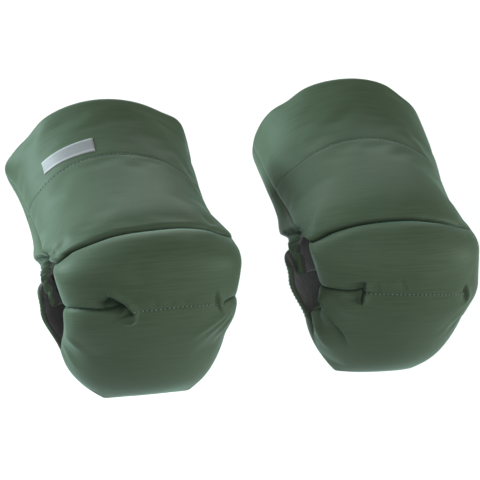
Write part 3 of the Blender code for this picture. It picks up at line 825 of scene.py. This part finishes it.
LEFT_FOLDS = {
    "wrist_line": Fold(
        "sewn",
        ((0.785, -1), (0.775, -0.80), (0.776, -0.62), (0.781, -0.39), (0.783, -0.2), (0.780, 0),
         (0.776, 0.16), (0.771, 0.34), (0.757, 0.52), (0.750, 0.7), (0.745, 1)),
        WRIST_SIZES, 0.0, 0.0,
    ),
    "crease": Fold(
        "tucked",
        ((0.452, -1), (0.473, -0.78), (0.505, -0.61), (0.524, -0.44), (0.540, -0.26),
         (0.546, -0.08), (0.549, 0.07), (0.552, 0.22), (0.549, 0.4), (0.538, 0.52), (0.515, 0.72),
         (0.50, 1)),
        CREASE_SIZES, 0.0, 0.28, CREASE_PAINTED_SHADE,
    ),
    "tuck_seam": Fold(
        "tucked",
        ((0.338, -0.99), (0.336, -0.84), (0.332, -0.58), (0.327, -0.41), (0.325, -0.29),
         (0.324, -0.20)),
        TUCK_SIZES, 0.0, 0.05, TUCK_PAINTED_SHADE,
    ),
    "tuck_lip": Fold(
        "ledge",
        ((0.363, -0.345), (0.357, -0.300), (0.346, -0.252), (0.333, -0.207), (0.320, -0.172),
         (0.310, -0.158)),
        (0.0085, 0.010, 0.0028), 0.22, 0.10, (0.80, 0.0028, 0.0028),
    ),
    "tuck_curl": Fold(
        "ridge", ((0.318, -0.166), (0.308, -0.158), (0.299, -0.168), (0.295, -0.20), (0.298, -0.25)),
        (0.0030, 0.0019), 0.12, 0.4,
    ),
    "tuck_hollow": Fold(
        "dent", ((0.345, -0.42), (0.338, -0.30), (0.323, -0.215)), (0.0042, 0.0048), 0.5, 0.08,
        (0.92, 0.0042, 0.0),
    ),
    "cap_line": Fold(
        "sewn", ((0.322, -0.18), (0.320, -0.04), (0.322, 0.11), (0.319, 0.34), (0.316, 0.42)),
        CAP_LINE_SIZES, 0.1, 0.1, CAP_LINE_PAINTED_SHADE,
    ),
    "cap_line_pucker_1": Fold("dent", ((0.348, -0.05), (0.325, -0.03)), (0.0006, 0.003), 0.5, 0.3),
    "cap_line_pucker_2": Fold("dent", ((0.345, 0.05), (0.326, 0.06)), (0.0006, 0.003), 0.5, 0.3),
    "cap_line_pucker_3": Fold("dent", ((0.341, 0.15), (0.325, 0.15)), (0.0005, 0.003), 0.5, 0.3),
    "right_dart": Fold(
        "ledge", ((0.356, 0.385), (0.340, 0.395), (0.322, 0.413), (0.305, 0.44), (0.293, 0.47)),
        (0.0024, 0.008, 0.0014), 0.35, 0.45, (0.25, 0.0012, 0.0012),
    ),
    "right_seam": Fold(
        "tucked", ((0.315, 0.43), (0.320, 0.52), (0.323, 0.64), (0.322, 0.8), (0.320, 0.99)),
        (0.0046, 0.007, 0.006, 0.0014, 0.010), 0.15, 0.55, (0.85, 0.0011, 0.0),
    ),
    "right_ray_1": Fold(
        "ridge", ((0.306, 0.56), (0.288, 0.44), (0.262, 0.32), (0.228, 0.18)), (0.0024, 0.0048),
        0.2, 0.7,
    ),
    "right_ray_2": Fold(
        "ridge", ((0.298, 0.60), (0.268, 0.47), (0.222, 0.34)), (0.0020, 0.0040), 0.25, 0.6,
    ),
    "right_ray_3": Fold(
        "ridge", ((0.290, 0.66), (0.250, 0.56), (0.200, 0.48)), (0.0018, 0.0042), 0.3, 0.6,
    ),
    "left_ray_1": Fold(
        "ridge", ((0.275, -0.84), (0.240, -0.66), (0.200, -0.52)), (0.0011, 0.005), 0.3, 0.6,
    ),
    "left_ray_2": Fold(
        "ridge", ((0.245, -0.90), (0.200, -0.78), (0.150, -0.66)), (0.0012, 0.005), 0.3, 0.6,
    ),
    "wrist_drag": Fold(
        "ridge", ((0.830, 0.38), (0.785, 0.50), (0.735, 0.60), (0.690, 0.70)), (0.0012, 0.006),
        0.4, 0.4,
    ),
    "crease_drag_1": Fold(
        "dent", ((0.560, 0.55), (0.590, 0.50), (0.620, 0.44)), (0.0012, 0.005), 0.1, 0.6,
    ),
    "crease_drag_2": Fold(
        "dent", ((0.505, -0.80), (0.540, -0.66), (0.580, -0.56)), (0.0014, 0.006), 0.1, 0.6,
    ),
}
RIGHT_FOLDS = {
    "wrist_line": Fold(
        "sewn",
        ((0.769, -1), (0.762, -0.86), (0.755, -0.70), (0.753, -0.55), (0.758, -0.38),
         (0.763, -0.2), (0.764, 0.0), (0.761, 0.18), (0.755, 0.34), (0.744, 0.5), (0.729, 0.7),
         (0.714, 1)),
        WRIST_SIZES, 0.0, 0.0,
    ),
    "crease": Fold(
        "tucked",
        ((0.445, -1), (0.468, -0.78), (0.497, -0.58), (0.517, -0.38), (0.526, -0.16),
         (0.527, 0.06), (0.518, 0.28), (0.500, 0.46), (0.475, 0.62), (0.445, 0.8), (0.43, 1)),
        CREASE_SIZES, 0.0, 0.42, CREASE_PAINTED_SHADE,
    ),
    "tuck_seam": Fold(
        "tucked",
        ((0.326, -0.99), (0.325, -0.86), (0.325, -0.58), (0.323, -0.44), (0.323, -0.335)),
        TUCK_SIZES, 0.0, 0.0, TUCK_PAINTED_SHADE,
    ),
    "tuck_lip": Fold(
        "ledge",
        ((0.354, -0.316), (0.340, -0.320), (0.325, -0.324), (0.310, -0.328), (0.290, -0.332)),
        (0.0078, 0.008, 0.0018), 0.12, 0.15, (0.80, 0.0012, 0.0010),
    ),
    "cap_line": Fold(
        "sewn", ((0.322, -0.31), (0.320, -0.17), (0.318, 0.03), (0.313, 0.2), (0.300, 0.40)),
        CAP_LINE_SIZES, 0.1, 0.1, CAP_LINE_PAINTED_SHADE,
    ),
    "cap_line_pucker_1": Fold(
        "ledge", ((0.362, -0.245), (0.345, -0.225), (0.325, -0.205)), PUCKER_SIZES, 0.5, 0.2,
    ),
    "cap_line_pucker_2": Fold(
        "ledge", ((0.372, -0.09), (0.352, -0.065), (0.330, -0.045)), PUCKER_SIZES, 0.5, 0.2,
    ),
    "right_dart": Fold(
        "ledge", ((0.335, 0.405), (0.318, 0.415), (0.297, 0.435), (0.272, 0.46)),
        (0.0036, 0.009, 0.0014), 0.35, 0.4, (0.35, 0.0012, 0.0012),
    ),
    "slit_fold": Fold(
        "ledge",
        ((0.305, -0.90), (0.288, -0.76), (0.262, -0.63), (0.232, -0.545), (0.198, -0.475),
         (0.160, -0.41)),
        (0.0110, 0.015, 0.0042), 0.12, 0.5, (0.60, 0.0040, 0.0034),
    ),
    "slit_gather_1": Fold(
        "dent", ((0.285, -1.0), (0.255, -0.90), (0.222, -0.80), (0.185, -0.72)),
        (0.0045, 0.0045), 0.05, 0.6, (0.35, 0.003, 0.0),
    ),
    "slit_gather_2": Fold(
        "dent", ((0.218, -1.0), (0.185, -0.98), (0.150, -0.93), (0.115, -0.86)),
        (0.0030, 0.0040), 0.05, 0.6, (0.25, 0.003, 0.0),
    ),
    "slit_ray_1": Fold(
        "ridge", ((0.300, -0.66), (0.285, -0.50), (0.262, -0.36), (0.240, -0.24)),
        (0.0018, 0.008), 0.4, 0.6,
    ),
    "slit_ray_2": Fold(
        "ridge", ((0.262, -0.96), (0.220, -0.84), (0.170, -0.74), (0.120, -0.66)),
        (0.0026, 0.006), 0.1, 0.5,
    ),
    "slit_dent": Fold(
        "dent", ((0.240, -0.98), (0.200, -0.93), (0.150, -0.86)), (0.0030, 0.005), 0.1, 0.5,
    ),
    "right_ray_1": Fold(
        "ridge", ((0.262, 0.58), (0.235, 0.45), (0.200, 0.35), (0.165, 0.26)), (0.0011, 0.005),
        0.3, 0.6,
    ),
    "right_ray_2": Fold(
        "ridge", ((0.250, 0.64), (0.205, 0.53), (0.160, 0.46)), (0.0010, 0.004), 0.3, 0.6,
    ),
    "wrist_drag": Fold(
        "ridge", ((0.845, 0.30), (0.800, 0.40), (0.750, 0.52), (0.700, 0.62)), (0.0012, 0.006),
        0.4, 0.4,
    ),
    "crease_drag": Fold(
        "dent", ((0.500, -0.86), (0.545, -0.74), (0.590, -0.66)), (0.0014, 0.006), 0.1, 0.6,
    ),
}


def sewn(depth, below, above):
    """A sewn line's cross-section: cloth that rolls down to the thread from both sides."""

    def profile(t):
        reach = np.where(t < 0, below, above)
        away = np.clip(1 - np.abs(t) / reach, 0.0, 1.0)
        return -depth * (1 - np.sqrt(np.maximum(1 - away**2, 0.0)))

    return profile, max(below, above)


def tucked(depth, below, above, sink, slope):
    """A deep seam: the cloth below rolls over it, and the cloth above sinks towards it."""

    def profile(t):
        low = np.clip(1 + t / below, 0.0, 1.0)
        high = np.clip(1 - t / above, 0.0, 1.0)
        roll = depth * (1 - np.sqrt(np.maximum(1 - low**2, 0.0)))
        turn = (depth - sink) * (1 - np.sqrt(np.maximum(1 - high**2, 0.0)))
        return -np.where(t < 0, roll, turn + sink * np.exp(-((t / slope) ** 2)))

    return profile, max(below, 2.2 * slope)


def ledge(depth, hollow, lip):
    """A lip of cloth over a hollow, which lies on the right as one looks along the path."""

    def profile(t):
        out = np.maximum(-t, 0.0)
        drop = (1 - np.exp(-((out / 0.0016) ** 1.5))) * np.exp(-((out / hollow) ** 1.4))
        return lip * np.exp(-((t / 0.0045) ** 2)) * (t > 0) + lip * (t <= 0) * (
            np.exp(-((t / 0.0012) ** 2))
        ) - depth * drop

    return profile, 2.4 * hollow


def ridge(height, width):
    return lambda t: height * np.exp(-((t / width) ** 2)), 2.6 * width


def dent(depth, width):
    return ridge(-depth, width)


PROFILES = {"sewn": sewn, "tucked": tucked, "ledge": ledge, "ridge": ridge, "dent": dent}


# How a padded edge is drawn in at a side seam: how far in it begins and how deep it goes,
# outside and in the lining, and how much of the outer depth is lost near the mouth
SEAM_REACH, SEAM_DEPTH, SEAM_DEPTH_LOST = 0.008, 0.0032, 0.0026
LINING_REACH, LINING_DEPTH = 0.004, 0.0012
MOUTH_SEAM_SHARES = (0.88, 0.99)
STOOD_FREE_SHARE = 0.45


def edge_depths(sheet, thickness, low="sewn", top="free", slit=None):
    """Outer and inner depths of a sheet with sewn and free edges.

    slit is the share by which each place's side edge stands free.
    """
    free = np.zeros(sheet.share.shape) if slit is None else slit
    half = thickness / 2
    side = sheet.from_side()
    seam = SEAM_DEPTH - SEAM_DEPTH_LOST * ramp(sheet.share, *MOUTH_SEAM_SHARES)
    outer = dipped(side, SEAM_REACH * (1 - free) + half * free, seam * (1 - free) + half * free)
    inner = dipped(
        side, LINING_REACH * (1 - free) + half * free, LINING_DEPTH * (1 - free) + half * free
    )
    for edge, distance in ((low, sheet.from_low()), (top, sheet.from_top())):
        if edge == "free":
            outer = np.maximum(outer, dipped(distance, half, half))
            inner = np.maximum(inner, dipped(distance, half, half))
        if edge == "fold":
            outer = np.maximum(outer, dipped(distance, HEM_WALL, HEM_WALL - SEAM_GAP))
    return outer, inner


def stood_free(share):
    """How far a side edge stands free, where the slit is open."""
    return ramp(gape(share), 0.0, STOOD_FREE_SHARE)


# Where the mouth's cloth is pulled out of round: the place on the front, and how far in metres
RIM_TUGS = {
    "left": (
        (1.0, -0.92, (-0.006, 0.0, 0.0)), (1.0, -0.61, (0.0015, 0.0, -0.0030)),
        (1.0, 0.60, (0.003, 0.0, 0.0035)), (0.93, 0.85, (-0.004, 0.0, 0.0)),
    ),
    "right": ((1.0, -0.49, (0.001, 0.0, -0.0035)), (1.0, 0.47, (-0.001, 0.0, -0.0020))),
}


RIM_TUG_REACH = 0.016


def tug_rim(sheet):
    """Pulls the mouth's cloth out of round."""
    for share, across, way in RIM_TUGS[sheet.muff.name]:
        sheet.tug(share, across, way, RIM_TUG_REACH)


def back_wrist_path(folds):
    """The wrist line goes on across the back, level with its two ends on the front."""
    path = folds["wrist_line"].path
    left, right = path[0][0], path[-1][0]
    return tuple(
        (left + (right - left) * (across + 1) / 2, across) for across in (-1, -0.5, 0, 0.5, 1)
    )


# The short folds that run from each tack of the slits into the cloth, with painted shade in them
TACK_FOLDS = tuple(
    Fold("dent", ((0.502, side), (0.503 + rise, side * inward)), (depth, 0.0022), 0.0, 0.6,
         (0.85, 0.0018, 0.0))
    for side in (-1, 1)
    for rise, inward, depth in ((0.060, 0.96, 0.0030), (0.042, 0.89, 0.0034), (0.012, 0.84, 0.0026))
)

# Painted shade at the tacks' pinched cloth: the place along the sleeve, its reach and how dark it is
TACK_PAINTED_SHADES = ((0.498, 0.007, 0.95), (0.205, 0.006, 0.9))


def tack(sheet):
    """Pinches both side edges at the tacks that end the slits, with painted shade round each tack."""
    for fold in TACK_FOLDS:
        sheet.carve(fold)
    for side in (-1, 1):
        for share, reach, strength in TACK_PAINTED_SHADES:
            sheet.press(share, side, reach, strength)


# The covers' grids: how many rows and columns, and the places where they lie closer together,
# each with its reach and how much closer
FRONT_GRID, BACK_GRID, FLAP_GRID = (361, 211), (201, 151), (161, 151)
FRONT_ROW_PLACES = (
    (0, 0.012, 2.5), (0.32, 0.03, 0.9), (0.52, 0.04, 1.0), (0.77, 0.02, 1.0), (1, 0.015, 2.5)
)
FRONT_COLUMN_PLACES = ((-1, 0.03, 2.5), (-0.3, 0.12, 0.5), (1, 0.03, 2.5))
BACK_ROW_PLACES = ((BACK_EDGE_SHARE, 0.02, 2), (FLAP_TOP_SHARE, 0.06, 0.6), (1, 0.015, 3))
FLAP_ROW_PLACES = ((0, 0.015, 2), (FLAP_TOP_SHARE, 0.02, 2.5))
BACK_COLUMN_PLACES = ((-1, 0.04, 2), (1, 0.04, 2))
# How much of a fold's height shows in the lining
LINING_FOLD_SHARE = 0.15
# Over how much of the sleeve the flap thins and comes free at its lower tacks
FLAP_FREE_SHARE = 0.02


def front_cover(muff, folds, materials):
    rows = spaced(FRONT_GRID[0], 0.0, 1.0, FRONT_ROW_PLACES)
    columns = spaced(FRONT_GRID[1], -1.0, 1.0, FRONT_COLUMN_PLACES)
    sheet = Sheet(muff, front_surface, rows, columns, 1)
    for fold in folds.values():
        sheet.carve(fold, LINING_FOLD_SHARE)
    tack(sheet)
    tug_rim(sheet)
    puffed(sheet, [fold.path for fold in folds.values() if fold.kind in ("sewn", "tucked")])
    thickness = wall(sheet.share)
    slit = stood_free(sheet.share)
    outer, inner = edge_depths(sheet, thickness, "fold", "free", slit)
    piece = cover(f"{muff.name}_front_cover", sheet, outer, thickness - inner, materials)
    return piece, sheet


def back_cover(muff, folds, materials):
    rows = spaced(BACK_GRID[0], BACK_EDGE_SHARE, 1.0, BACK_ROW_PLACES)
    columns = spaced(BACK_GRID[1], -1.0, 1.0, BACK_COLUMN_PLACES)
    sheet = Sheet(muff, back_surface, rows, columns, -1)
    wrist = folds["wrist_line"]
    sheet.carve(wrist._replace(path=back_wrist_path(folds)))
    sheet.gather(
        low=0.33, high=UPPER_TACK_SHARE + 0.01, depth=0.0016, pitch=0.0125, reach=0.022
    )
    tack(sheet)
    tug_rim(sheet)
    under = under_flap(sheet.share) / lean(muff)
    top = (FLAP_WALL + STUD_SPACE) * under
    thickness = WALL + OVERLAP_WALL * under - WALL * under_flap(sheet.share) - top
    puffed(sheet, [back_wrist_path(folds)])
    slit = stood_free(sheet.share)
    outer, inner = edge_depths(sheet, thickness, "free", "free", slit)
    piece = cover(
        f"{muff.name}_back_cover", sheet, top + outer, top + thickness - inner, materials
    )
    return piece, sheet


def flap_cover(muff, materials):
    rows = spaced(FLAP_GRID[0], 0.0, FLAP_TOP_SHARE, FLAP_ROW_PLACES)
    columns = spaced(FLAP_GRID[1], -1.0, 1.0, BACK_COLUMN_PLACES)
    sheet = Sheet(muff, flap_surface, rows, columns, -1)
    thin = ramp(sheet.share, LOWER_TACK_SHARE - FLAP_FREE_SHARE, LOWER_TACK_SHARE)
    thickness = wall(sheet.share) * (1 - thin) + FLAP_WALL / lean(muff) * thin
    slit = ramp(sheet.share, LOWER_TACK_SHARE, LOWER_TACK_SHARE + FLAP_FREE_SHARE)
    outer, inner = edge_depths(sheet, thickness, "fold", "free", slit)
    piece = cover(f"{muff.name}_flap_cover", sheet, outer, thickness - inner, materials)
    return piece, sheet


# Stitches and the label


STITCH_PITCH, STITCH_LENGTH = 0.0038, 0.0019
MUFF_THREAD, CAP_THREAD, FLAP_THREAD = 0.0016, 0.0012, 0.0013
# The stitches along the slits' edges on the back: how far across, and their places along
SLIT_STITCH_SIDE_SHARE = 0.93
SLIT_STITCH_SHARES = (0.335, 0.38, 0.43, 0.48, 0.52)


def stitch_tree():
    """Stitches along curves: one rounded length of thread for each pitch of a line."""
    tree = bpy.data.node_groups.new("muff_stitches", "GeometryNodeTree")
    for name, kind in (
        ("Lines", "NodeSocketGeometry"), ("Pitch", "NodeSocketFloat"),
        ("Stitch length", "NodeSocketFloat"), ("Thread width", "NodeSocketFloat"),
        ("Seed", "NodeSocketInt"), ("Thread", "NodeSocketMaterial"),
    ):
        tree.interface.new_socket(name=name, in_out="INPUT", socket_type=kind)
    tree.interface.new_socket(name="Stitches", in_out="OUTPUT", socket_type="NodeSocketGeometry")
    nodes, links = tree.nodes, tree.links
    given, result = nodes.new("NodeGroupInput"), nodes.new("NodeGroupOutput")
    points = nodes.new("GeometryNodeCurveToPoints")
    points.mode = "LENGTH"
    thread = nodes.new("GeometryNodeMeshUVSphere")
    thread.inputs["Segments"].default_value = 8
    thread.inputs["Rings"].default_value = 5
    thread.inputs["Radius"].default_value = 0.5
    size, drawn = nodes.new("ShaderNodeCombineXYZ"), nodes.new("GeometryNodeTransform")
    along = nodes.new("FunctionNodeAlignRotationToVector")
    along.axis = "X"
    uneven = nodes.new("FunctionNodeRandomValue")
    uneven.data_type = "FLOAT_VECTOR"
    uneven.inputs[0].default_value = (0.90, 0.88, 0.88)
    uneven.inputs[1].default_value = (1.08, 1.10, 1.10)
    laid = nodes.new("GeometryNodeInstanceOnPoints")
    real, coloured = nodes.new("GeometryNodeRealizeInstances"), nodes.new("GeometryNodeSetMaterial")
    for out, into in (
        (given.outputs["Lines"], points.inputs["Curve"]),
        (given.outputs["Pitch"], points.inputs["Length"]),
        (given.outputs["Stitch length"], size.inputs["X"]),
        (given.outputs["Thread width"], size.inputs["Y"]),
        (given.outputs["Thread width"], size.inputs["Z"]),
        (given.outputs["Seed"], uneven.inputs["Seed"]),
        (thread.outputs["Mesh"], drawn.inputs["Geometry"]),
        (size.outputs["Vector"], drawn.inputs["Scale"]),
        (points.outputs["Tangent"], along.inputs["Vector"]),
        (points.outputs["Points"], laid.inputs["Points"]),
        (drawn.outputs["Geometry"], laid.inputs["Instance"]),
        (along.outputs["Rotation"], laid.inputs["Rotation"]),
        (uneven.outputs[0], laid.inputs["Scale"]),
        (laid.outputs["Instances"], real.inputs["Geometry"]),
        (real.outputs["Geometry"], coloured.inputs["Geometry"]),
        (given.outputs["Thread"], coloured.inputs["Material"]),
        (coloured.outputs["Geometry"], result.inputs["Stitches"]),
    ):
        links.new(out, into)
    return tree


def stitched(name, tree, lines, thread, width, seed):
    """The stitches of one body's seams, as one plain mesh."""
    curve = bpy.data.curves.new(name, "CURVE")
    curve.dimensions = "3D"
    for line in lines:
        spline = curve.splines.new("POLY")
        spline.points.add(len(line) - 1)
        spline.points.foreach_set("co", np.hstack([line, np.ones((len(line), 1))]).ravel())
    seams = bpy.data.objects.new(name + "_lines", curve)
    bpy.context.scene.collection.objects.link(seams)
    modifier = seams.modifiers.new("stitches", "NODES")
    modifier.node_group = tree
    sizes = {
        "Pitch": STITCH_PITCH, "Stitch length": STITCH_LENGTH, "Thread width": width,
        "Seed": seed, "Thread": thread,
    }
    for socket in tree.interface.items_tree:
        if socket.name in sizes:
            modifier[socket.identifier] = sizes[socket.name]
    evaluated = seams.evaluated_get(bpy.context.evaluated_depsgraph_get())
    mesh = bpy.data.meshes.new_from_object(evaluated)
    mesh.name = name
    bpy.data.objects.remove(seams)
    return add_piece(name, mesh)


# The flap's topstitching, from one lower tack round its free edge to the other
FLAP_STITCH_SIDE = (
    (0.215, 0.94), (0.26, 0.94), (0.31, 0.94), (0.36, 0.94), (0.392, 0.925), (0.406, 0.87),
    (0.408, 0.7), (0.408, 0.5), (0.408, 0.25),
)
FLAP_STITCH_PLACES = (
    *((share, -across) for share, across in FLAP_STITCH_SIDE), (0.408, 0), *FLAP_STITCH_SIDE[::-1]
)


def muff_stitches(side, tree, sheets, folds, dark, pale):
    """The stitches of the muff, of its cap's line and of its flap, as three pieces."""
    front, back, flap = sheets
    lines = [front.seam(folds["wrist_line"].path), back.seam(back_wrist_path(folds))]
    for across in (-SLIT_STITCH_SIDE_SHARE, SLIT_STITCH_SIDE_SHARE):
        lines.append(back.seam([(share, across) for share in SLIT_STITCH_SHARES]))
    cap_line, flap_line = front.seam(folds["cap_line"].path), flap.seam(FLAP_STITCH_PLACES)
    return (
        # One thread in two colours: the dark copy paints shade on these stitches, the pale copy paints
        # sheen on the cap's
        stitched(f"{side}_muff_stitches", tree, lines, dark, MUFF_THREAD, 1),
        stitched(f"{side}_cap_stitches", tree, [cap_line], pale, CAP_THREAD, 3),
        stitched(f"{side}_flap_stitches", tree, [flap_line], dark, FLAP_THREAD, 2),
    )


# Corners of the label on the left muff's wrist: lower left, lower right, upper right, upper left
LABEL_PLACES = ((0.802, -0.585), (0.799, -0.155), (0.846, -0.145), (0.845, -0.575))
LABEL_GRID = (21, 71)
# How high the label's edge lies on the cloth, how much higher its middle, over what width the
# edge is rounded, and how deep the underside lies in the cloth
LABEL_EDGE, LABEL_RISE, LABEL_ROUNDING, LABEL_DEPTH = 0.0002, 0.0008, 0.0007, 0.0006


def bare_label(sheet, material):
    """The woven label, bare: a thin strip sewn flat on the cloth."""
    rows, columns = LABEL_GRID
    u, v = np.meshgrid(np.linspace(0, 1, columns), np.linspace(0, 1, rows))
    corners = np.array(LABEL_PLACES)
    low = corners[0] * (1 - u[..., None]) + corners[1] * u[..., None]
    high = corners[3] * (1 - u[..., None]) + corners[2] * u[..., None]
    place = low * (1 - v[..., None]) + high * v[..., None]
    args = place[..., 0], place[..., 1]
    points = sheet.sampled(sheet.outer, *args)
    normals = sheet.sampled(sheet.normals_of(sheet.outer), *args)
    long = np.linalg.norm(points[rows // 2, -1] - points[rows // 2, 0])
    wide = np.linalg.norm(points[-1, columns // 2] - points[0, columns // 2])
    edge = np.minimum(np.minimum(u, 1 - u) * long, np.minimum(v, 1 - v) * wide)
    height = LABEL_EDGE + LABEL_RISE * np.sqrt(np.clip(edge / LABEL_ROUNDING, 0, 1))
    top = points + normals * height[..., None]
    bottom = points - normals * LABEL_DEPTH
    index = np.arange(u.size).reshape(u.shape)
    border = border_of(u.shape)
    below = np.where(border, index, index + u.size)
    quads = np.concatenate([quads_of(index), quads_of(below)[:, ::-1]])
    used = np.ones(2 * u.size, bool)
    used[u.size :][border.ravel()] = False
    number = np.cumsum(used) - 1
    mesh = bpy.data.meshes.new("left_woven_label")
    mesh.from_pydata(
        np.concatenate([top.reshape(-1, 3), bottom.reshape(-1, 3)])[used].tolist(), [],
        number[quads].tolist(),
    )
    cloth = np.stack([(u - 0.5) * long, (v - 0.5) * wide], -1).reshape(-1, 2)
    add_cloth_map(mesh, np.concatenate([cloth, cloth])[used])
    mesh.materials.append(material)
    return add_piece("left_woven_label", mesh)


# The studio


# The camera's place round the origin. It is turned so that the origin lies this many pixels
# right of the picture's middle and below it
CAMERA_AZIMUTH, CAMERA_ELEVATION = math.radians(-17.0), math.radians(22.0)
CAMERA_DISTANCE = 1.3
PICTURE_PIXELS, FOCAL_PIXELS = 480, 1375.7
ORIGIN_RIGHT_PIXELS, ORIGIN_DOWN_PIXELS = 30, 32
SENSOR_MM = 36.0
FLOOR_HALF, FLOOR_HEIGHT = 9, -0.5


def studio():
    azimuth, elevation = CAMERA_AZIMUTH, CAMERA_ELEVATION
    right = Vector((math.cos(azimuth), math.sin(azimuth), 0))
    ahead = Vector(
        (-math.sin(azimuth) * math.cos(elevation), math.cos(azimuth) * math.cos(elevation),
         -math.sin(elevation))
    )
    up = right.cross(ahead)
    data = bpy.data.cameras.new("camera")
    data.sensor_width = SENSOR_MM
    data.lens = FOCAL_PIXELS / PICTURE_PIXELS * SENSOR_MM
    camera = bpy.data.objects.new("camera", data)
    bpy.context.scene.collection.objects.link(camera)
    camera.location = -CAMERA_DISTANCE * ahead
    look = ahead - right * (ORIGIN_RIGHT_PIXELS / FOCAL_PIXELS)
    look += up * (ORIGIN_DOWN_PIXELS / FOCAL_PIXELS)
    camera.rotation_euler = look.to_track_quat("-Z", "Y").to_euler()
    bpy.context.scene.camera = camera

    for name, place, target, size, power, tint in (
        ("left", (-1.4, 0.6, 0.6), (0, 0, 0), 0.7, 66, (0.80, 0.97, 1.0)),
        ("right", (2.9, -1.3, 0.45), (0, 0, 0), 1.3, 110, (0.94, 1.0, 0.97)),
        ("fill", (-1.2, -4.8, 1.8), (0, 0, 0), 3.0, 182, (1.0, 1.0, 0.98)),
        ("backdrop", (0.6, 4.2, 2.5), (0.6, 4.2, 0), 4.5, 280, (1, 1, 1)),
    ):
        light = bpy.data.lights.new(name, "AREA")
        light.shape, light.size, light.energy, light.color = "DISK", size, power, tint
        lamp = bpy.data.objects.new(name, light)
        lamp.location = place
        lamp.rotation_euler = (Vector(target) - Vector(place)).to_track_quat("-Z", "Y").to_euler()
        bpy.context.scene.collection.objects.link(lamp)
    world = bpy.data.worlds.new("studio")
    world.use_nodes = True
    world.node_tree.nodes["Background"].inputs["Color"].default_value = (1, 1, 1, 1)
    world.node_tree.nodes["Background"].inputs["Strength"].default_value = 0.26
    bpy.context.scene.world = world
    bpy.context.scene.view_settings.view_transform = "Standard"

    mesh = bpy.data.meshes.new("floor")
    floor_corners = [
        (x * FLOOR_HALF, y * FLOOR_HALF, FLOOR_HEIGHT) for x, y in ((-1, -1), (1, -1), (1, 1), (-1, 1))
    ]
    mesh.from_pydata(floor_corners, [], [(0, 1, 2, 3)])
    paper, _ = new_material("studio_paper", (0.55, 0.55, 0.55), 0.9)
    mesh.materials.append(paper)
    floor = add_piece("floor", mesh)


def main():
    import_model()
    studio()
    shell, lining = shell_cloth(), fleece()
    # One thread in two colours: the dark copy is painted shade, the pale copy painted sheen
    thread_painted_shade = thread_material("muff_dark_thread", (0.005, 0.009, 0.006), (0.011, 0.018, 0.012))
    thread_painted_sheen = thread_material("muff_pale_thread", (0.040, 0.062, 0.043), (0.060, 0.090, 0.063))
    metal, label_cloth = stud_metal(), label_weave()
    tree = stitch_tree()
    for muff, folds in zip(MUFFS, (LEFT_FOLDS, RIGHT_FOLDS)):
        side = muff.name
        front, front_sheet = front_cover(muff, folds, (shell, lining))
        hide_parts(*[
            f"{side}_{layer}" for layer in (
                "front_shell", "front_wadding", "front_lining", "cap_shell", "cap_wadding",
                "cap_lining", "tip_wadding", "mouth_roll",
            )
        ])
        back, back_sheet = back_cover(muff, folds, (shell, lining))
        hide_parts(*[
            f"{side}_{layer}" for layer in (
                "back_shell", "back_wadding", "back_lining",
                "slit_elastic_left", "slit_elastic_right",
            )
        ])
        flap, flap_sheet = flap_cover(muff, (shell, lining))
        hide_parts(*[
            f"{side}_{part}_{layer}" for part in ("lower_back", "flap")
            for layer in ("shell", "wadding", "lining")
        ])
        sheets = front_sheet, back_sheet, flap_sheet
        stitches, cap_stitches, flap_stitches = muff_stitches(
            side, tree, sheets, folds, thread_painted_shade, thread_painted_sheen
        )
        for piece in (front, back, stitches, cap_stitches):
            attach(piece, f"{side}_muff")
        hinge = back_surface(muff, np.array([LOWER_TACK_SHARE]), np.array([0.0]))[0]
        for piece in (flap, flap_stitches):
            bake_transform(piece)
        if side == "left":
            label = bare_label(front_sheet, label_cloth)
            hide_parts("left_label")
            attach(label, "left_muff")
        for stud in ("left", "right"):
            for part in ("cap", "socket", "stud", "post"):
                node = bpy.data.objects[f"{side}_snap_{stud}_{part}"]
                for i in range(len(node.material_slots)):
                    node.material_slots[i].material = metal


main()
